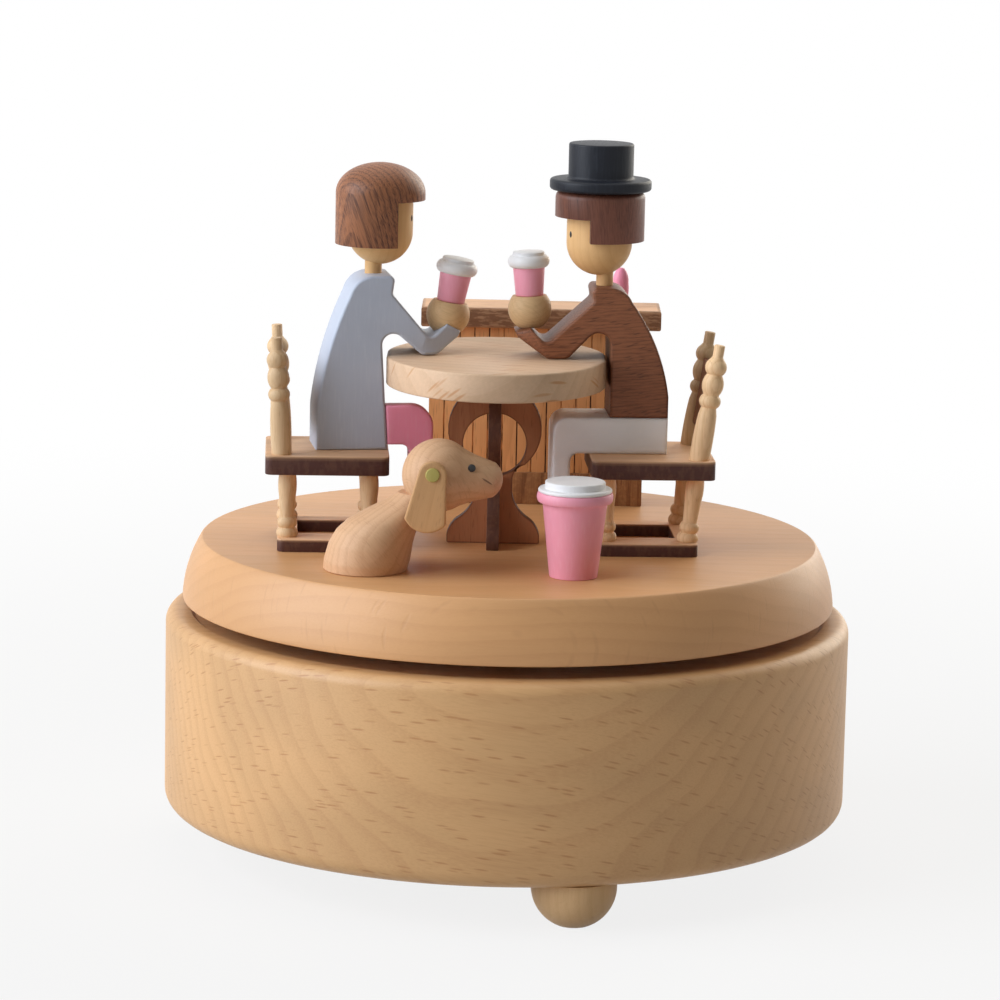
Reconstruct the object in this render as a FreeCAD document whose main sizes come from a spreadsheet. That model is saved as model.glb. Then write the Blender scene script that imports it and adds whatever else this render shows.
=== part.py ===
"""Wooden music box with a turning tabletop scene, in millimetres.

A beech drum stands on three ball feet and holds an 18 note wind-up movement.
The movement's winding shaft comes up through the drum's top and carries the
round platform, so the platform is both the winding knob and the turntable.
On it stand a table, two chairs, two seated figures that hold cups, a counter,
a dog and a takeaway cup.

+X is to the right and +Y to the back, as seen from the front, and +Z is up.
The origin is on the drum's axis, on the surface that the box stands on.
"""
import FreeCAD, Part
import math
import os
import Sketcher

DOC = FreeCAD.newDocument("music_box")
SHEET = DOC.addObject("Spreadsheet::Sheet", "sizes")
X_AXIS = FreeCAD.Vector(1, 0, 0)
Y_AXIS = FreeCAD.Vector(0, 1, 0)
Z_AXIS = FreeCAD.Vector(0, 0, 1)

# Driving dimensions, by assembly: name, value, what it is
DRIVING = {
    "Drum and feet": [
        ("foot_height", 7.4, "from the ground to the drum's underside"),
        ("foot_radius", 6.6, "turned ball foot"),
        ("foot_flat_radius", 2.6, "sanded flat that the ball stands on"),
        ("foot_tenon_radius", 2.5, "round tenon on top of the ball"),
        ("foot_tenon_length", 5.0, "tenon above the drum's underside"),
        ("foot_inset", 8.0, "middle of a foot from the drum's outside"),
        ("foot_turn", 13.55, "degrees of the front foot towards +X"),
        ("tenon_clearance", 0.05, "glue gap round tenons and dowels"),
        ("drum_diameter", 110.0, "outside of the drum"),
        ("drum_height", 31.8, "drum without its feet"),
        ("drum_bottom_round", 2.5, "rounding of the bottom edge"),
        ("drum_top_round", 2.0, "rounding of the top edge"),
        ("drum_rim", 4.0, "rim round the shallow dish turned into the top"),
        ("drum_dish_depth", 0.6, "depth of that dish"),
        ("drum_top_wall", 5.0, "wood above the movement's cavity"),
        ("cavity_radius", 38.0, "bored cavity for the movement"),
        ("shaft_hole_radius", 3.2, "hole for the winding shaft"),
        ("cover_radius", 43.3, "round bottom cover"),
        ("cover_thickness", 3.0, "thickness of the cover"),
        ("cover_recess", 0.2, "cover's face above the drum's underside"),
        ("cover_clearance", 0.2, "gap round the cover"),
        ("sound_hole_radius", 6.0, "hole in the cover that lets the tune out"),
        ("cover_screw_radius", 40.7, "cover screws from the axis"),
    ],
    "Wood screws": [
        ("screw_head_radius", 2.0, "pan head"),
        ("screw_head_height", 1.2, "pan head"),
        ("screw_shank_radius", 1.0, "shank, and the hole it cuts in wood"),
        ("screw_length", 5.0, "shank under the head"),
        ("screw_tip", 1.2, "pointed end"),
        ("screw_slot_width", 0.5, "slot in the head"),
        ("screw_slot_depth", 0.5, "slot in the head"),
        ("screw_clearance", 0.15, "gap round heads and shanks in clearance holes"),
    ],
    "Movement plate and spring": [
        ("plate_left", 13.0, "bedplate from the axis towards -X"),
        ("plate_right", 33.5, "bedplate from the axis towards +X"),
        ("plate_half_depth", 17.0, "half depth of the bedplate"),
        ("plate_thickness", 1.8, "bedplate"),
        ("plate_corner", 4.0, "corner radius of the bedplate"),
        ("plate_screw_x", 9.0, "left bedplate screws"),
        ("plate_screw_y", 13.0, "left bedplate screws"),
        ("plate_screw_far_x", 30.5, "right bedplate screw"),
        ("bearing_clearance", 0.05, "running gap round every shaft"),
        ("arbor_radius", 2.0, "winding shaft"),
        ("housing_radius", 8.0, "spring housing"),
        ("housing_height", 10.0, "spring housing under the plate"),
        ("housing_wall", 0.6, "spring housing"),
        ("spring_inner_radius", 2.6, "innermost turn of the mainspring"),
        ("spring_thickness", 0.3, "strip"),
        ("spring_width", 8.0, "strip"),
        ("spring_turns", 6, "turns of the mainspring"),
        ("spring_gap", 0.4, "spring above the housing's floor"),
    ],
    "Gear train": [
        ("train_axis_drop", 9.0, "cylinder and governor axes below the plate"),
        ("gear_backlash", 0.12, "thinning of every tooth flank"),
        ("crown_teeth", 40, "drive gear on the winding shaft"),
        ("crown_mean_radius", 10.2, "middle of the crown teeth"),
        ("crown_face", 2.0, "radial length of the crown teeth"),
        ("crown_disc", 1.4, "thickness of the drive gear"),
        ("crown_rim", 0.2, "disc outside the crown teeth"),
        ("crown_hub_radius", 3.5, "drive gear's hub"),
        ("hub_gap", 0.3, "hub below the spring housing"),
        ("pinion_teeth", 10, "cylinder pinion"),
        ("shaft_radius", 0.8, "cylinder shaft"),
        ("lug_thickness", 1.0, "bearing lugs cast on the plate"),
        ("lug_half_width", 3.0, "bearing lugs"),
        ("lug_gap", 0.8, "side gap between a lug and a wheel"),
        ("lug_below_axis", 2.5, "lug past its bearing hole"),
        ("cylinder_radius", 6.3, "pinned cylinder"),
        ("cylinder_length", 13.0, "pinned cylinder"),
        ("pin_size", 0.3, "width of a note pin"),
        ("pin_height", 0.45, "note pin above the cylinder"),
        ("pin_count", 54, "note pins"),
        ("wheel_module", 0.3, "cylinder gear and governor pinion"),
        ("cylinder_gear_teeth", 48, "cylinder gear"),
        ("governor_pinion_teeth", 12, "governor pinion"),
        ("wheel_thickness", 1.2, "cylinder gear and governor wheel"),
        ("governor_shaft_radius", 0.6, "governor wheel's shaft"),
        ("worm_module", 0.4, "governor wheel and worm"),
        ("worm_wheel_teeth", 24, "governor wheel"),
        ("worm_pitch_radius", 1.35, "worm"),
        ("worm_core_radius", 0.9, "worm"),
        ("worm_tip_radius", 1.62, "worm"),
        ("worm_turns", 5, "turns of the worm's thread"),
        ("worm_pivot_radius", 0.4, "worm's pivots"),
        ("worm_end_play", 0.15, "worm's pivot below the end of its bore"),
        ("fan_length", 8.0, "air brake across"),
        ("fan_height", 2.2, "air brake"),
        ("fan_thickness", 0.5, "air brake"),
    ],
    "Comb": [
        ("note_count", 18, "teeth of the comb"),
        ("note_pitch", 0.7, "teeth side by side"),
        ("note_slot", 0.22, "saw cut between two teeth"),
        ("comb_thickness", 1.4, "comb's base"),
        ("tooth_thickness", 0.5, "comb's teeth"),
        ("comb_base_depth", 5.0, "comb's base"),
        ("comb_reach", 4.0, "shortest tooth"),
        ("comb_gap", 0.1, "tooth tips off the pins at rest"),
        ("comb_screw_head", 1.6, "comb screws"),
        ("comb_screw_height", 0.8, "comb screws"),
        ("comb_screw_shank", 0.8, "comb screws"),
        ("comb_screw_length", 4.0, "comb screws"),
        ("comb_screw_spacing", 7.6, "comb screws"),
    ],
    "Turntable": [
        ("platform_gap", 2.0, "slit between the drum and the platform"),
        ("platform_height", 9.8, "platform"),
        ("platform_inset", 2.65, "platform's lower edge inside the drum's outside"),
        ("deck_inset", 2.8, "platform's upper edge inside its lower edge"),
        ("platform_bow", 20.0, "radius of the bowed side"),
        ("deck_chamfer", 0.3, "fine chamfer of the upper edge"),
        ("flange_radius", 11.0, "metal flange let into the underside"),
        ("flange_thickness", 1.2, "metal flange"),
        ("flange_hub_radius", 4.0, "flange's hub"),
        ("flange_hub_height", 3.0, "hub above the flange"),
        ("flange_screw_radius", 8.0, "flange screws from the axis"),
        ("flange_clearance", 0.1, "gap round the flange in the wood"),
    ],
    "Table": [
        ("table_x", -2.6, "table from the axis"),
        ("table_y", -4.4, "table from the axis"),
        ("table_length", 42.2, "tabletop from front to back"),
        ("table_width", 35.2, "tabletop oval, before its flats"),
        ("table_flat_width", 34.7, "tabletop across its side flats"),
        ("table_thickness", 4.5, "tabletop"),
        ("pedestal_height", 25.7, "crossed boards under the top"),
        ("board_thickness", 2.0, "crossed boards"),
        ("ring_radius", 7.45, "outside of the boards' ring"),
        ("ring_flat", 0.15, "flat on top of the ring"),
        ("ring_hole_radius", 5.05, "hole in the ring"),
        ("ring_hole_height", 16.0, "centre of the hole above the deck"),
        ("pedestal_foot", 7.4, "half width of the boards at the deck"),
        ("foot_rise", 1.2, "upright edge of the pedestal foot"),
        ("foot_bend_half", 5.4, "half width where the foot's curve turns"),
        ("foot_bend_height", 4.2, "height where the foot's curve turns"),
        ("foot_bulge", 4.2, "radius of the foot's outward curve"),
        ("foot_hollow", 6.0, "radius of the foot's inward curve"),
        ("stem_half", 2.9, "half width of the stem"),
        ("stem_low", 8.4, "stem's lower end above the deck"),
        ("stem_high", 10.2, "stem's upper end above the deck"),
        ("neck_half", 4.9, "half width where the stem meets the ring"),
        ("neck_fillet", 2.6, "radius between stem and ring"),
        ("lap_height", 5.4, "half lap of the crossed boards"),
    ],
    "Chairs": [
        ("left_chair_x", 29.0, "left chair's base frame from the axis towards -X"),
        ("left_chair_y", -5.9, "left chair from the axis"),
        ("right_chair_x", 21.35, "right chair's base frame from the axis towards +X"),
        ("right_chair_y", -4.0, "right chair from the axis"),
        ("chair_turn", 3.2, "degrees, anticlockwise from above"),
        ("left_seat_shift", 0.25, "left seat outwards of its base frame's middle"),
        ("right_seat_shift", 0.75, "right seat outwards of its base frame's middle"),
        ("ring_width", 16.0, "base frame across"),
        ("ring_depth", 20.6, "base frame from front to back"),
        ("ring_thickness", 2.0, "base frame"),
        ("ring_end_bar", 3.2, "bars at the frame's two ends"),
        ("ring_front_bar", 6.0, "bar nearest the front"),
        ("ring_back_bar", 3.2, "bar at the back"),
        ("chair_corner", 1.4, "corner radius of seats and frames"),
        ("leg_length", 10.2, "from the base frame to the seat"),
        ("leg_inset", 1.55, "legs from the frame's ends"),
        ("leg_front_inset", 3.4, "front legs from the frame's front"),
        ("leg_back_inset", 1.7, "back legs from the frame's back"),
        ("seat_width", 19.5, "seat across"),
        ("seat_depth", 19.8, "seat from front to back"),
        ("seat_thickness", 3.0, "seat"),
        ("post_inset", 2.6, "posts from the seat's outer edge"),
        ("post_spacing", 15.2, "posts apart"),
        ("post_length", 18.5, "posts above the seat"),
        ("left_lean", 3.1, "degrees that the left posts lean outwards"),
        ("right_lean", 8.6, "degrees that the right posts lean outwards"),
        ("right_leg_lean", 6.5, "degrees that the right chair's outer legs lean outwards"),
        ("spindle_bead", 1.72, "radius of the beads on legs and posts"),
        ("spindle_neck", 1.2, "radius of the necks between beads"),
        ("spindle_shaft", 1.55, "radius of the posts' plain part"),
        ("post_swell", 0.12, "bulge of the posts' plain part"),
        ("post_taper", 1.2, "from the plain part's end to the first bead"),
        ("low_ring_drop", 9.0, "lowest bead's middle below the post's top"),
        ("low_ring_half", 1.0, "half of its length"),
        ("middle_ring_drop", 6.35, "middle bead below the post's top"),
        ("middle_ring_half", 1.65, "half of its length"),
        ("top_ring_drop", 3.55, "highest bead below the post's top"),
        ("top_ring_half", 1.15, "half of its length"),
        ("spindle_plug", 0.85, "radius of the posts' top plug"),
        ("plug_length", 1.9, "posts' top plug"),
        ("spindle_trim", 0.45, "length cut off each end to fit a leaning leg or post"),
        ("slat_thickness", 1.0, "back board between the posts"),
        ("slat_height", 10.5, "back board"),
        ("slat_rise", 3.9, "back board above the seat"),
        ("slat_gap", 0.05, "back board off the post beads"),
    ],
    "Figures": [
        ("figure_thickness", 10.0, "thickness of the bodies' boards"),
        ("woman_x", -22.4, "woman's neck"),
        ("woman_y", -3.4, "woman's neck"),
        ("woman_turn", 9.0, "degrees, anticlockwise from above"),
        ("man_x", 14.3, "man's neck"),
        ("man_y", -2.6, "man's neck"),
        ("man_turn", 4.0, "degrees, anticlockwise from above"),
        ("hand_tip_half", 2.6, "half thickness at the end of the hand"),
        ("neck_radius", 1.35, "neck dowel"),
        ("neck_show", 1.2, "neck between body and head"),
        ("neck_socket", 3.0, "dowel in the body, and in the head"),
        ("head_radius", 5.2, "head"),
        ("head_offset", 1.0, "head forward of the neck"),
        ("head_side", 7.4, "straight side above the round chin"),
        ("hair_radius", 7.1, "hair cap"),
        ("hair_gap", 0.1, "head in the hair cap"),
        ("fringe_cut", 2.0, "face cut forward of the head's axis"),
        ("hand_radius", 3.45, "hand bead"),
        ("hand_low", 2.9, "bead's lower flat under its middle"),
        ("hand_top", 2.15, "bead's upper flat over its middle"),
        ("hand_clearance", 0.05, "bead in its seat"),
        ("thigh_height", 5.8, "man's leg board on the seat"),
        ("arm_round", 1.6, "rounding under the elbow and the palm"),
        ("wrist_round", 1.2, "rounding of the wrist"),
        ("throat_round", 0.8, "rounding at the throat"),
        ("throat_step", 0.4, "top's front corner ahead of the throat"),
        ("finger_end", 0.8, "height of the hand's blunt end"),
        ("finger_slant", 0.3, "slant of the hand's blunt end"),
        ("knee_hollow", 1.3, "rounding of the hollow of the knee"),
        ("leg_gap", 0.05, "glue gap between the woman and her leg board"),
        ("leg_drop", 11.3, "legs below the seat's top"),
    ],
    "Woman": [
        ("woman_back", 9.3, "back edge behind the neck"),
        ("woman_front", 2.1, "front edge ahead of the neck"),
        ("woman_bend", 6.4, "where the back starts to bow"),
        ("woman_bow", 60.0, "radius of the back"),
        ("woman_shoulder", 27.7, "top of the body above the seat"),
        ("woman_nape", 3.4, "top's back corner behind the neck"),
        ("woman_nape_round", 4.0, "rounding of the top's back corner"),
        ("woman_throat_reach", 2.6, "throat"),
        ("woman_throat", 24.8, "throat above the seat"),
        ("woman_wrist_reach", 8.7, "lowest point of the arm's upper edge"),
        ("woman_wrist", 17.6, "its height"),
        ("woman_finger_reach", 11.5, "top of the hand"),
        ("woman_finger", 19.9, "its height"),
        ("woman_tip_reach", 13.7, "end of the hand"),
        ("woman_tip", 18.7, "its height"),
        ("woman_palm_reach", 9.9, "underside of the hand"),
        ("woman_elbow_reach", 7.4, "underside of the arm"),
        ("woman_arm_low", 15.15, "height of the arm's underside"),
        ("woman_arch_reach", 0.8, "corner of the arch under the arm"),
        ("woman_arch", 20.8, "its height"),
        ("woman_arch_round", 1.9, "rounding of the arch"),
        ("woman_fold", 7.9, "where the hand starts to narrow"),
        ("woman_chin", 29.1, "chin above the seat"),
        ("woman_hair_low", 32.3, "hair's lower edge above the seat"),
        ("woman_fringe", 39.4, "fringe above the seat"),
        ("woman_hair_bend", 40.4, "where the dome starts"),
        ("woman_hair_top", 45.2, "top of the hair"),
        ("woman_hand_reach", 12.1, "hand bead ahead of the neck"),
        ("woman_hand", 21.0, "bead's centre above the seat"),
        ("woman_leg_top", 7.15, "leg board above the seat"),
        ("woman_leg_low", 0.8, "underside of the leg board above the seat"),
        ("woman_knee_reach", 9.4, "knee ahead of the neck"),
        ("woman_knee_round", 3.4, "rounding of the knee"),
        ("woman_leg_thickness", 3.0, "leg board"),
        ("woman_shin_width", 3.8, "shin"),
    ],
    "Man": [
        ("man_back", 10.2, "back edge behind the neck"),
        ("man_front", -0.95, "front edge ahead of the neck"),
        ("man_bend", 3.4, "where the back starts to bow"),
        ("man_bow", 32.0, "radius of the back"),
        ("man_shoulder", 20.6, "top of the body above the leg board"),
        ("man_nape", 3.2, "top's back corner behind the neck"),
        ("man_nape_round", 3.5, "rounding of the top's back corner"),
        ("man_throat_reach", 1.95, "throat"),
        ("man_throat", 18.4, "throat above the leg board"),
        ("man_wrist_reach", 9.3, "lowest point of the arm's upper edge"),
        ("man_wrist", 11.6, "its height"),
        ("man_finger_reach", 11.8, "top of the hand"),
        ("man_finger", 13.9, "its height"),
        ("man_tip_reach", 14.1, "end of the hand"),
        ("man_tip", 13.3, "its height"),
        ("man_palm_reach", 9.2, "underside of the hand"),
        ("man_elbow_reach", 6.0, "underside of the arm"),
        ("man_arm_low", 9.3, "height of the arm's underside"),
        ("man_arch_reach", -0.7, "corner of the arch under the arm"),
        ("man_arch", 16.2, "its height"),
        ("man_arch_round", 2.2, "rounding of the arch"),
        ("man_fold", 10.4, "where the hand starts to narrow"),
        ("man_chin", 22.2, "chin above the leg board"),
        ("man_hair_low", 27.8, "hair's lower edge above the leg board"),
        ("man_fringe", 31.5, "fringe above the leg board"),
        ("man_hair_top", 35.7, "flat top of the hair"),
        ("man_hair_round", 1.2, "rounding of the hair's top"),
        ("man_hand_reach", 11.8, "hand bead ahead of the neck"),
        ("man_hand", 16.65, "bead's centre above the leg board"),
        ("man_knee_reach", 8.0, "knee ahead of the neck"),
        ("man_knee_round", 2.4, "rounding of the knee"),
        ("man_shin_width", 2.8, "shin"),
        ("hat_brim_radius", 8.05, "brim"),
        ("hat_brim_height", 1.8, "brim"),
        ("hat_crown_radius", 5.15, "crown"),
        ("hat_crown_height", 5.6, "crown above the brim"),
        ("hat_edge", 0.5, "rounding of the brim"),
    ],
    "Cups": [
        ("cup_base_radius", 2.2, "held cups"),
        ("cup_mouth_radius", 2.52, "held cups"),
        ("cup_height", 4.5, "held cups"),
        ("lid_radius", 3.3, "held cups' lids"),
        ("lid_height", 1.9, "held cups' lids"),
        ("lid_step_radius", 2.55, "raised disc of the lids"),
        ("lid_step_height", 0.6, "raised disc of the lids"),
        ("woman_cup_lean", 9.6, "degrees that the woman's cup leans to +X"),
        ("man_cup_lean", -2.5, "degrees that the man's cup leans to +X"),
        ("big_cup_x", 10.0, "cup on the deck"),
        ("big_cup_y", -31.0, "cup on the deck"),
        ("big_cup_base", 3.7, "radius of its base"),
        ("big_cup_mouth", 5.0, "radius under its collar"),
        ("big_cup_height", 11.7, "body under its collar"),
        ("big_collar_radius", 5.87, "rolled collar"),
        ("big_collar_height", 1.5, "rolled collar"),
        ("big_lid_radius", 5.75, "lid's flange"),
        ("big_collar_bulge", 0.2, "bulge of the rolled collar and of the lid's flange"),
        ("big_lid_edge", 0.25, "softened edges of the lid"),
        ("big_lid_flange", 0.6, "lid's flange"),
        ("big_lid_step", 4.65, "radius of the lid's raised disc"),
        ("big_lid_rise", 1.1, "raised disc"),
    ],
    "Counter": [
        ("counter_x", 4.1, "middle of the counter"),
        ("counter_y", 30.2, "front of the counter's plinth"),
        ("counter_width", 36.0, "plinth and panel"),
        ("counter_depth", 9.0, "plinth and panel"),
        ("plinth_height", 5.4, "plinth"),
        ("panel_height", 24.5, "panel"),
        ("panel_setback", 0.4, "panel behind the plinth's face"),
        ("plank_groove", 0.35, "width of the scored plank lines"),
        ("plank_depth", 0.3, "depth of the scored plank lines"),
        ("plank_pitch", 2.45, "plank lines apart"),
        ("slab_width", 40.0, "counter top"),
        ("slab_depth", 11.4, "counter top"),
        ("slab_thickness", 3.35, "counter top"),
        ("slab_shift", 0.5, "counter top off the panel's middle"),
        ("slab_overhang", 1.2, "counter top ahead of the plinth"),
        ("slab_edge", 0.5, "softened edges of the counter top"),
        ("peg_x", 17.8, "pink peg on the counter"),
        ("peg_radius", 1.3, "pink peg"),
        ("peg_height", 6.7, "pink peg"),
        ("peg_foot", 0.75, "radius of the peg's foot"),
        ("peg_waist", 4.2, "widest point above the foot"),
        ("peg_cap", 0.6, "radius where the rounded cap starts"),
    ],
    "Dog": [
        ("dog_y", -28.3, "middle of the dog"),
        ("dog_rump_x", -22.1, "middle of the body's base"),
        ("dog_rump_half", 6.5, "half length of the base"),
        ("dog_rump_depth", 7.0, "half depth of the base"),
        ("dog_neck_x", -14.0, "middle of the neck"),
        ("dog_neck_half", 3.2, "half width of the neck"),
        ("dog_neck_height", 12.2, "neck's end above the deck"),
        ("dog_head_x", -11.0, "middle of the skull"),
        ("dog_head_height", 14.9, "middle of the skull above the deck"),
        ("dog_skull", 5.65, "radius of the skull"),
        ("dog_neck_gap", 0.02, "glue gap between the body and the skull"),
        ("dog_brow", 3.4, "from the skull's middle to the brow"),
        ("dog_brow_radius", 4.55, "radius at the brow"),
        ("dog_cheek", 6.0, "from the skull's middle to the muzzle"),
        ("dog_cheek_hollow", 14.0, "radius of the hollow between brow and muzzle"),
        ("dog_cheek_radius", 3.45, "radius of the muzzle"),
        ("dog_muzzle", 8.5, "from the skull's middle to the nose's round"),
        ("dog_nose_radius", 2.7, "radius at the nose"),
        ("dog_nose", 9.9, "from the skull's middle to the tip"),
        ("dog_head_tilt", 4.0, "degrees that the muzzle points down"),
        ("ear_length", 11.1, "ear"),
        ("ear_top_half", 2.2, "half width at the top"),
        ("ear_low_half", 3.2, "half width at the bottom"),
        ("ear_thickness", 1.5, "ear board"),
        ("ear_swing", 8.0, "degrees that the ear hangs backwards"),
        ("ear_gap", 0.1, "ear off the skull"),
        ("ear_pin_x", -0.8, "dowel from the skull's middle"),
        ("ear_pin_rise", 1.2, "dowel above the skull's middle"),
        ("ear_pin_drop", 2.0, "dowel below the ear's top"),
        ("ear_pin_radius", 1.1, "dowel through both ears"),
        ("ear_pin_proud", 0.25, "dowel past the ear's face"),
    ],
}


class Size:
    """A length, angle or count: its number, and the sheet expression it comes from."""

    def __init__(self, number, text):
        self.number = float(number)
        self.text = text

    def __add__(self, other):
        other = as_size(other)
        return Size(self.number + other.number, "(%s + %s)" % (self.text, other.text))

    def __sub__(self, other):
        other = as_size(other)
        return Size(self.number - other.number, "(%s - %s)" % (self.text, other.text))

    def __mul__(self, other):
        other = as_size(other)
        return Size(self.number * other.number, "(%s * %s)" % (self.text, other.text))

    def __truediv__(self, other):
        other = as_size(other)
        return Size(self.number / other.number, "(%s / %s)" % (self.text, other.text))

    def __neg__(self):
        return Size(-self.number, "(0 - %s)" % self.text)

    __radd__ = __add__
    __rmul__ = __mul__

    def __rsub__(self, other):
        return as_size(other) - self

    def __rtruediv__(self, other):
        return as_size(other) / self

    def __float__(self):
        return self.number


class Sizes:
    """The sheet's sizes, as attributes by their names."""


def as_size(value):
    """A plain number as a Size."""
    if isinstance(value, Size):
        return value
    return Size(value, "(%r)" % float(value))


def root(size):
    """Square root of a size."""
    return Size(math.sqrt(size.number), "sqrt(%s)" % size.text)


def cosine(size):
    """Cosine of a size in degrees."""
    return Size(math.cos(math.radians(size.number)), "cos(%s)" % size.text)


def sine(size):
    """Sine of a size in degrees."""
    return Size(math.sin(math.radians(size.number)), "sin(%s)" % size.text)


def bow(half_chord, rise):
    """Radius of the arc over a chord, from half the chord and the arc's rise."""
    return (half_chord * half_chord + rise * rise) / (rise * 2.0)


def fill_sheet():
    """Put every driving dimension in the sheet and hand back their sizes."""
    sizes = Sizes()
    row = 1
    for heading, lines in DRIVING.items():
        SHEET.set("A%d" % row, heading)
        row += 1
        for name, number, note in lines:
            SHEET.set("A%d" % row, note)
            SHEET.set("B%d" % row, str(number))
            SHEET.setAlias("B%d" % row, name)
            setattr(sizes, name, Size(number, "sizes." + name))
            row += 1
    DOC.recompute()
    return sizes


S = fill_sheet()


# Tools for drawing

def bind(thing, prop, size):
    """Tie a property of an object to a size."""
    thing.setExpression(prop, as_size(size).text)


def new_body(label):
    """A body, which becomes one node."""
    body = DOC.addObject("PartDesign::Body", label)
    body.Label = label
    return body


def origin_part(body, role):
    """A plane or axis of the body's own origin."""
    return [part for part in body.Origin.OriginFeatures if part.Role == role][0]


def new_sketch(body, role, name, offset=None, turn=None):
    """A sketch on a plane of the body's origin, moved along its normal and turned in its plane."""
    sketch = body.newObject("Sketcher::SketchObject", name)
    sketch.AttachmentSupport = [(origin_part(body, role), "")]
    sketch.MapMode = "FlatFace"
    if offset is not None:
        bind(sketch, "AttachmentOffset.Base.z", offset)
    if turn is not None:
        sketch.AttachmentOffset = FreeCAD.Placement(FreeCAD.Vector(), FreeCAD.Rotation(Z_AXIS, 1.0))
        bind(sketch, "AttachmentOffset.Rotation.Angle", turn)
        if offset is not None:
            bind(sketch, "AttachmentOffset.Base.z", offset)
    return sketch


def arc_centre(start, end, radius, side):
    """Centre of the arc of under a half circle from start to end; side 1 bulges to the right of the way."""
    middle = (start + end) / 2
    along = end - start
    half = along.Length / 2
    depth = math.sqrt(max(radius * radius - half * half, 0.0))
    left = FreeCAD.Vector(-along.y, along.x, 0).normalize()
    return middle + left * (depth * side)


def add_arc(sketch, start, end, radius, side):
    """Add the arc from start to end, and hand back its number and which of its ends comes first."""
    centre = arc_centre(start, end, radius, side)
    ends = (start, end) if side > 0 else (end, start)
    low, high = [math.atan2(point.y - centre.y, point.x - centre.x) for point in ends]
    if high < low:
        high += 2 * math.pi
    edge = sketch.addGeometry(Part.ArcOfCircle(Part.Circle(centre, Z_AXIS, radius), low, high))
    return (edge, 1, 2) if side > 0 else (edge, 2, 1)


def draw_outline(sketch, corners):
    """Draw a closed outline and tie it to its sizes.

    Each corner is (x, y), reached by a straight edge, or (x, y, radius, side), reached by an arc.
    """
    points = [FreeCAD.Vector(float(corner[0]), float(corner[1]), 0) for corner in corners]
    edges = []
    for index, corner in enumerate(corners):
        start = points[index - 1]
        end = points[index]
        if len(corner) == 4:
            edges.append(add_arc(sketch, start, end, float(corner[2]), corner[3]))
        else:
            edges.append((sketch.addGeometry(Part.LineSegment(start, end)), 1, 2))
    for index, corner in enumerate(corners):
        edge, first, last = edges[index]
        after, after_first, after_last = edges[(index + 1) % len(edges)]
        sketch.addConstraint(Sketcher.Constraint("Coincident", edge, last, after, after_first))
        for kind, size in (("DistanceX", corner[0]), ("DistanceY", corner[1])):
            size = as_size(size)
            rule = sketch.addConstraint(Sketcher.Constraint(kind, -1, 1, edge, last, size.number))
            if "sizes." in size.text:
                bind(sketch, "Constraints[%d]" % rule, size)
        if len(corner) == 4:
            size = as_size(corner[2])
            rule = sketch.addConstraint(Sketcher.Constraint("Radius", edge, size.number))
            bind(sketch, "Constraints[%d]" % rule, size)


def draw_circle(sketch, x, y, radius):
    """Draw a circle tied to its sizes."""
    x, y, radius = as_size(x), as_size(y), as_size(radius)
    centre = FreeCAD.Vector(x.number, y.number, 0)
    edge = sketch.addGeometry(Part.Circle(centre, Z_AXIS, radius.number))
    for kind, size in (("DistanceX", x), ("DistanceY", y)):
        rule = sketch.addConstraint(Sketcher.Constraint(kind, -1, 1, edge, 3, size.number))
        if "sizes." in size.text:
            bind(sketch, "Constraints[%d]" % rule, size)
    rule = sketch.addConstraint(Sketcher.Constraint("Radius", edge, radius.number))
    bind(sketch, "Constraints[%d]" % rule, radius)


def rectangle(left, right, low, high):
    """Corners of an upright rectangle."""
    return [(left, low), (right, low), (right, high), (left, high)]


def add_pad(body, sketch, length, name):
    """A pad of a sketch along its normal."""
    pad = body.newObject("PartDesign::Pad", name)
    pad.Profile = sketch
    bind(pad, "Length", length)
    return pad


def cut_pocket(body, sketch, length, name):
    """A pocket that has to take wood away."""
    DOC.recompute()
    before = body.Shape.Volume
    pocket = body.newObject("PartDesign::Pocket", name)
    pocket.Profile = sketch
    pocket.Reversed = True
    bind(pocket, "Length", length)
    DOC.recompute()
    if not body.Shape.Volume < before:
        raise RuntimeError("%s cuts nothing" % name)
    return pocket


def turn_profile(body, sketch, name):
    """A solid turned about the upright axis of its sketch."""
    turned = body.newObject("PartDesign::Revolution", name)
    turned.Profile = sketch
    turned.ReferenceAxis = (sketch, ["V_Axis"])
    turned.Angle = 360.0
    return turned


def turned_body(label, profile):
    """A body turned about its own Z axis from (radius, height) corners."""
    body = new_body(label)
    sketch = new_sketch(body, "XZ_Plane", label + "_profile")
    draw_outline(sketch, profile)
    turn_profile(body, sketch, label + "_turning")
    DOC.recompute()
    return body


def polar_copies(body, feature, count, name):
    """Copies of a feature round the body's Z axis."""
    pattern = body.newObject("PartDesign::PolarPattern", name)
    pattern.Originals = [feature]
    pattern.Axis = (origin_part(body, "Z_Axis"), [""])
    pattern.Angle = 360.0
    bind(pattern, "Occurrences", count)
    body.Tip = pattern
    DOC.recompute()
    return pattern


def place(thing, x=0.0, y=0.0, z=0.0, axis=None, angle=None):
    """Move an object to its place, and turn it about an axis."""
    if axis is not None:
        if float(angle) < 0.0:
            axis, angle = -axis, -angle
        thing.Placement = FreeCAD.Placement(FreeCAD.Vector(), FreeCAD.Rotation(axis, 1.0))
        bind(thing, "Placement.Rotation.Angle", angle)
    for letter, size in (("x", x), ("y", y), ("z", z)):
        bind(thing, "Placement.Base." + letter, size)


def upright_edges(body, places):
    """Names of the body's edges that run along Y through the given (x, z) places, and each one's place."""
    found = []
    for index, edge in enumerate(body.Shape.Edges):
        ends = [vertex.Point for vertex in edge.Vertexes]
        if len(ends) != 2 or abs(ends[0].y - ends[1].y) < 1.0:
            continue
        for spot in places:
            if all(math.hypot(end.x - float(spot[0]), end.z - float(spot[1])) < 1e-3 for end in ends):
                found.append("Edge%d" % (index + 1))
    return found


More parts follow.
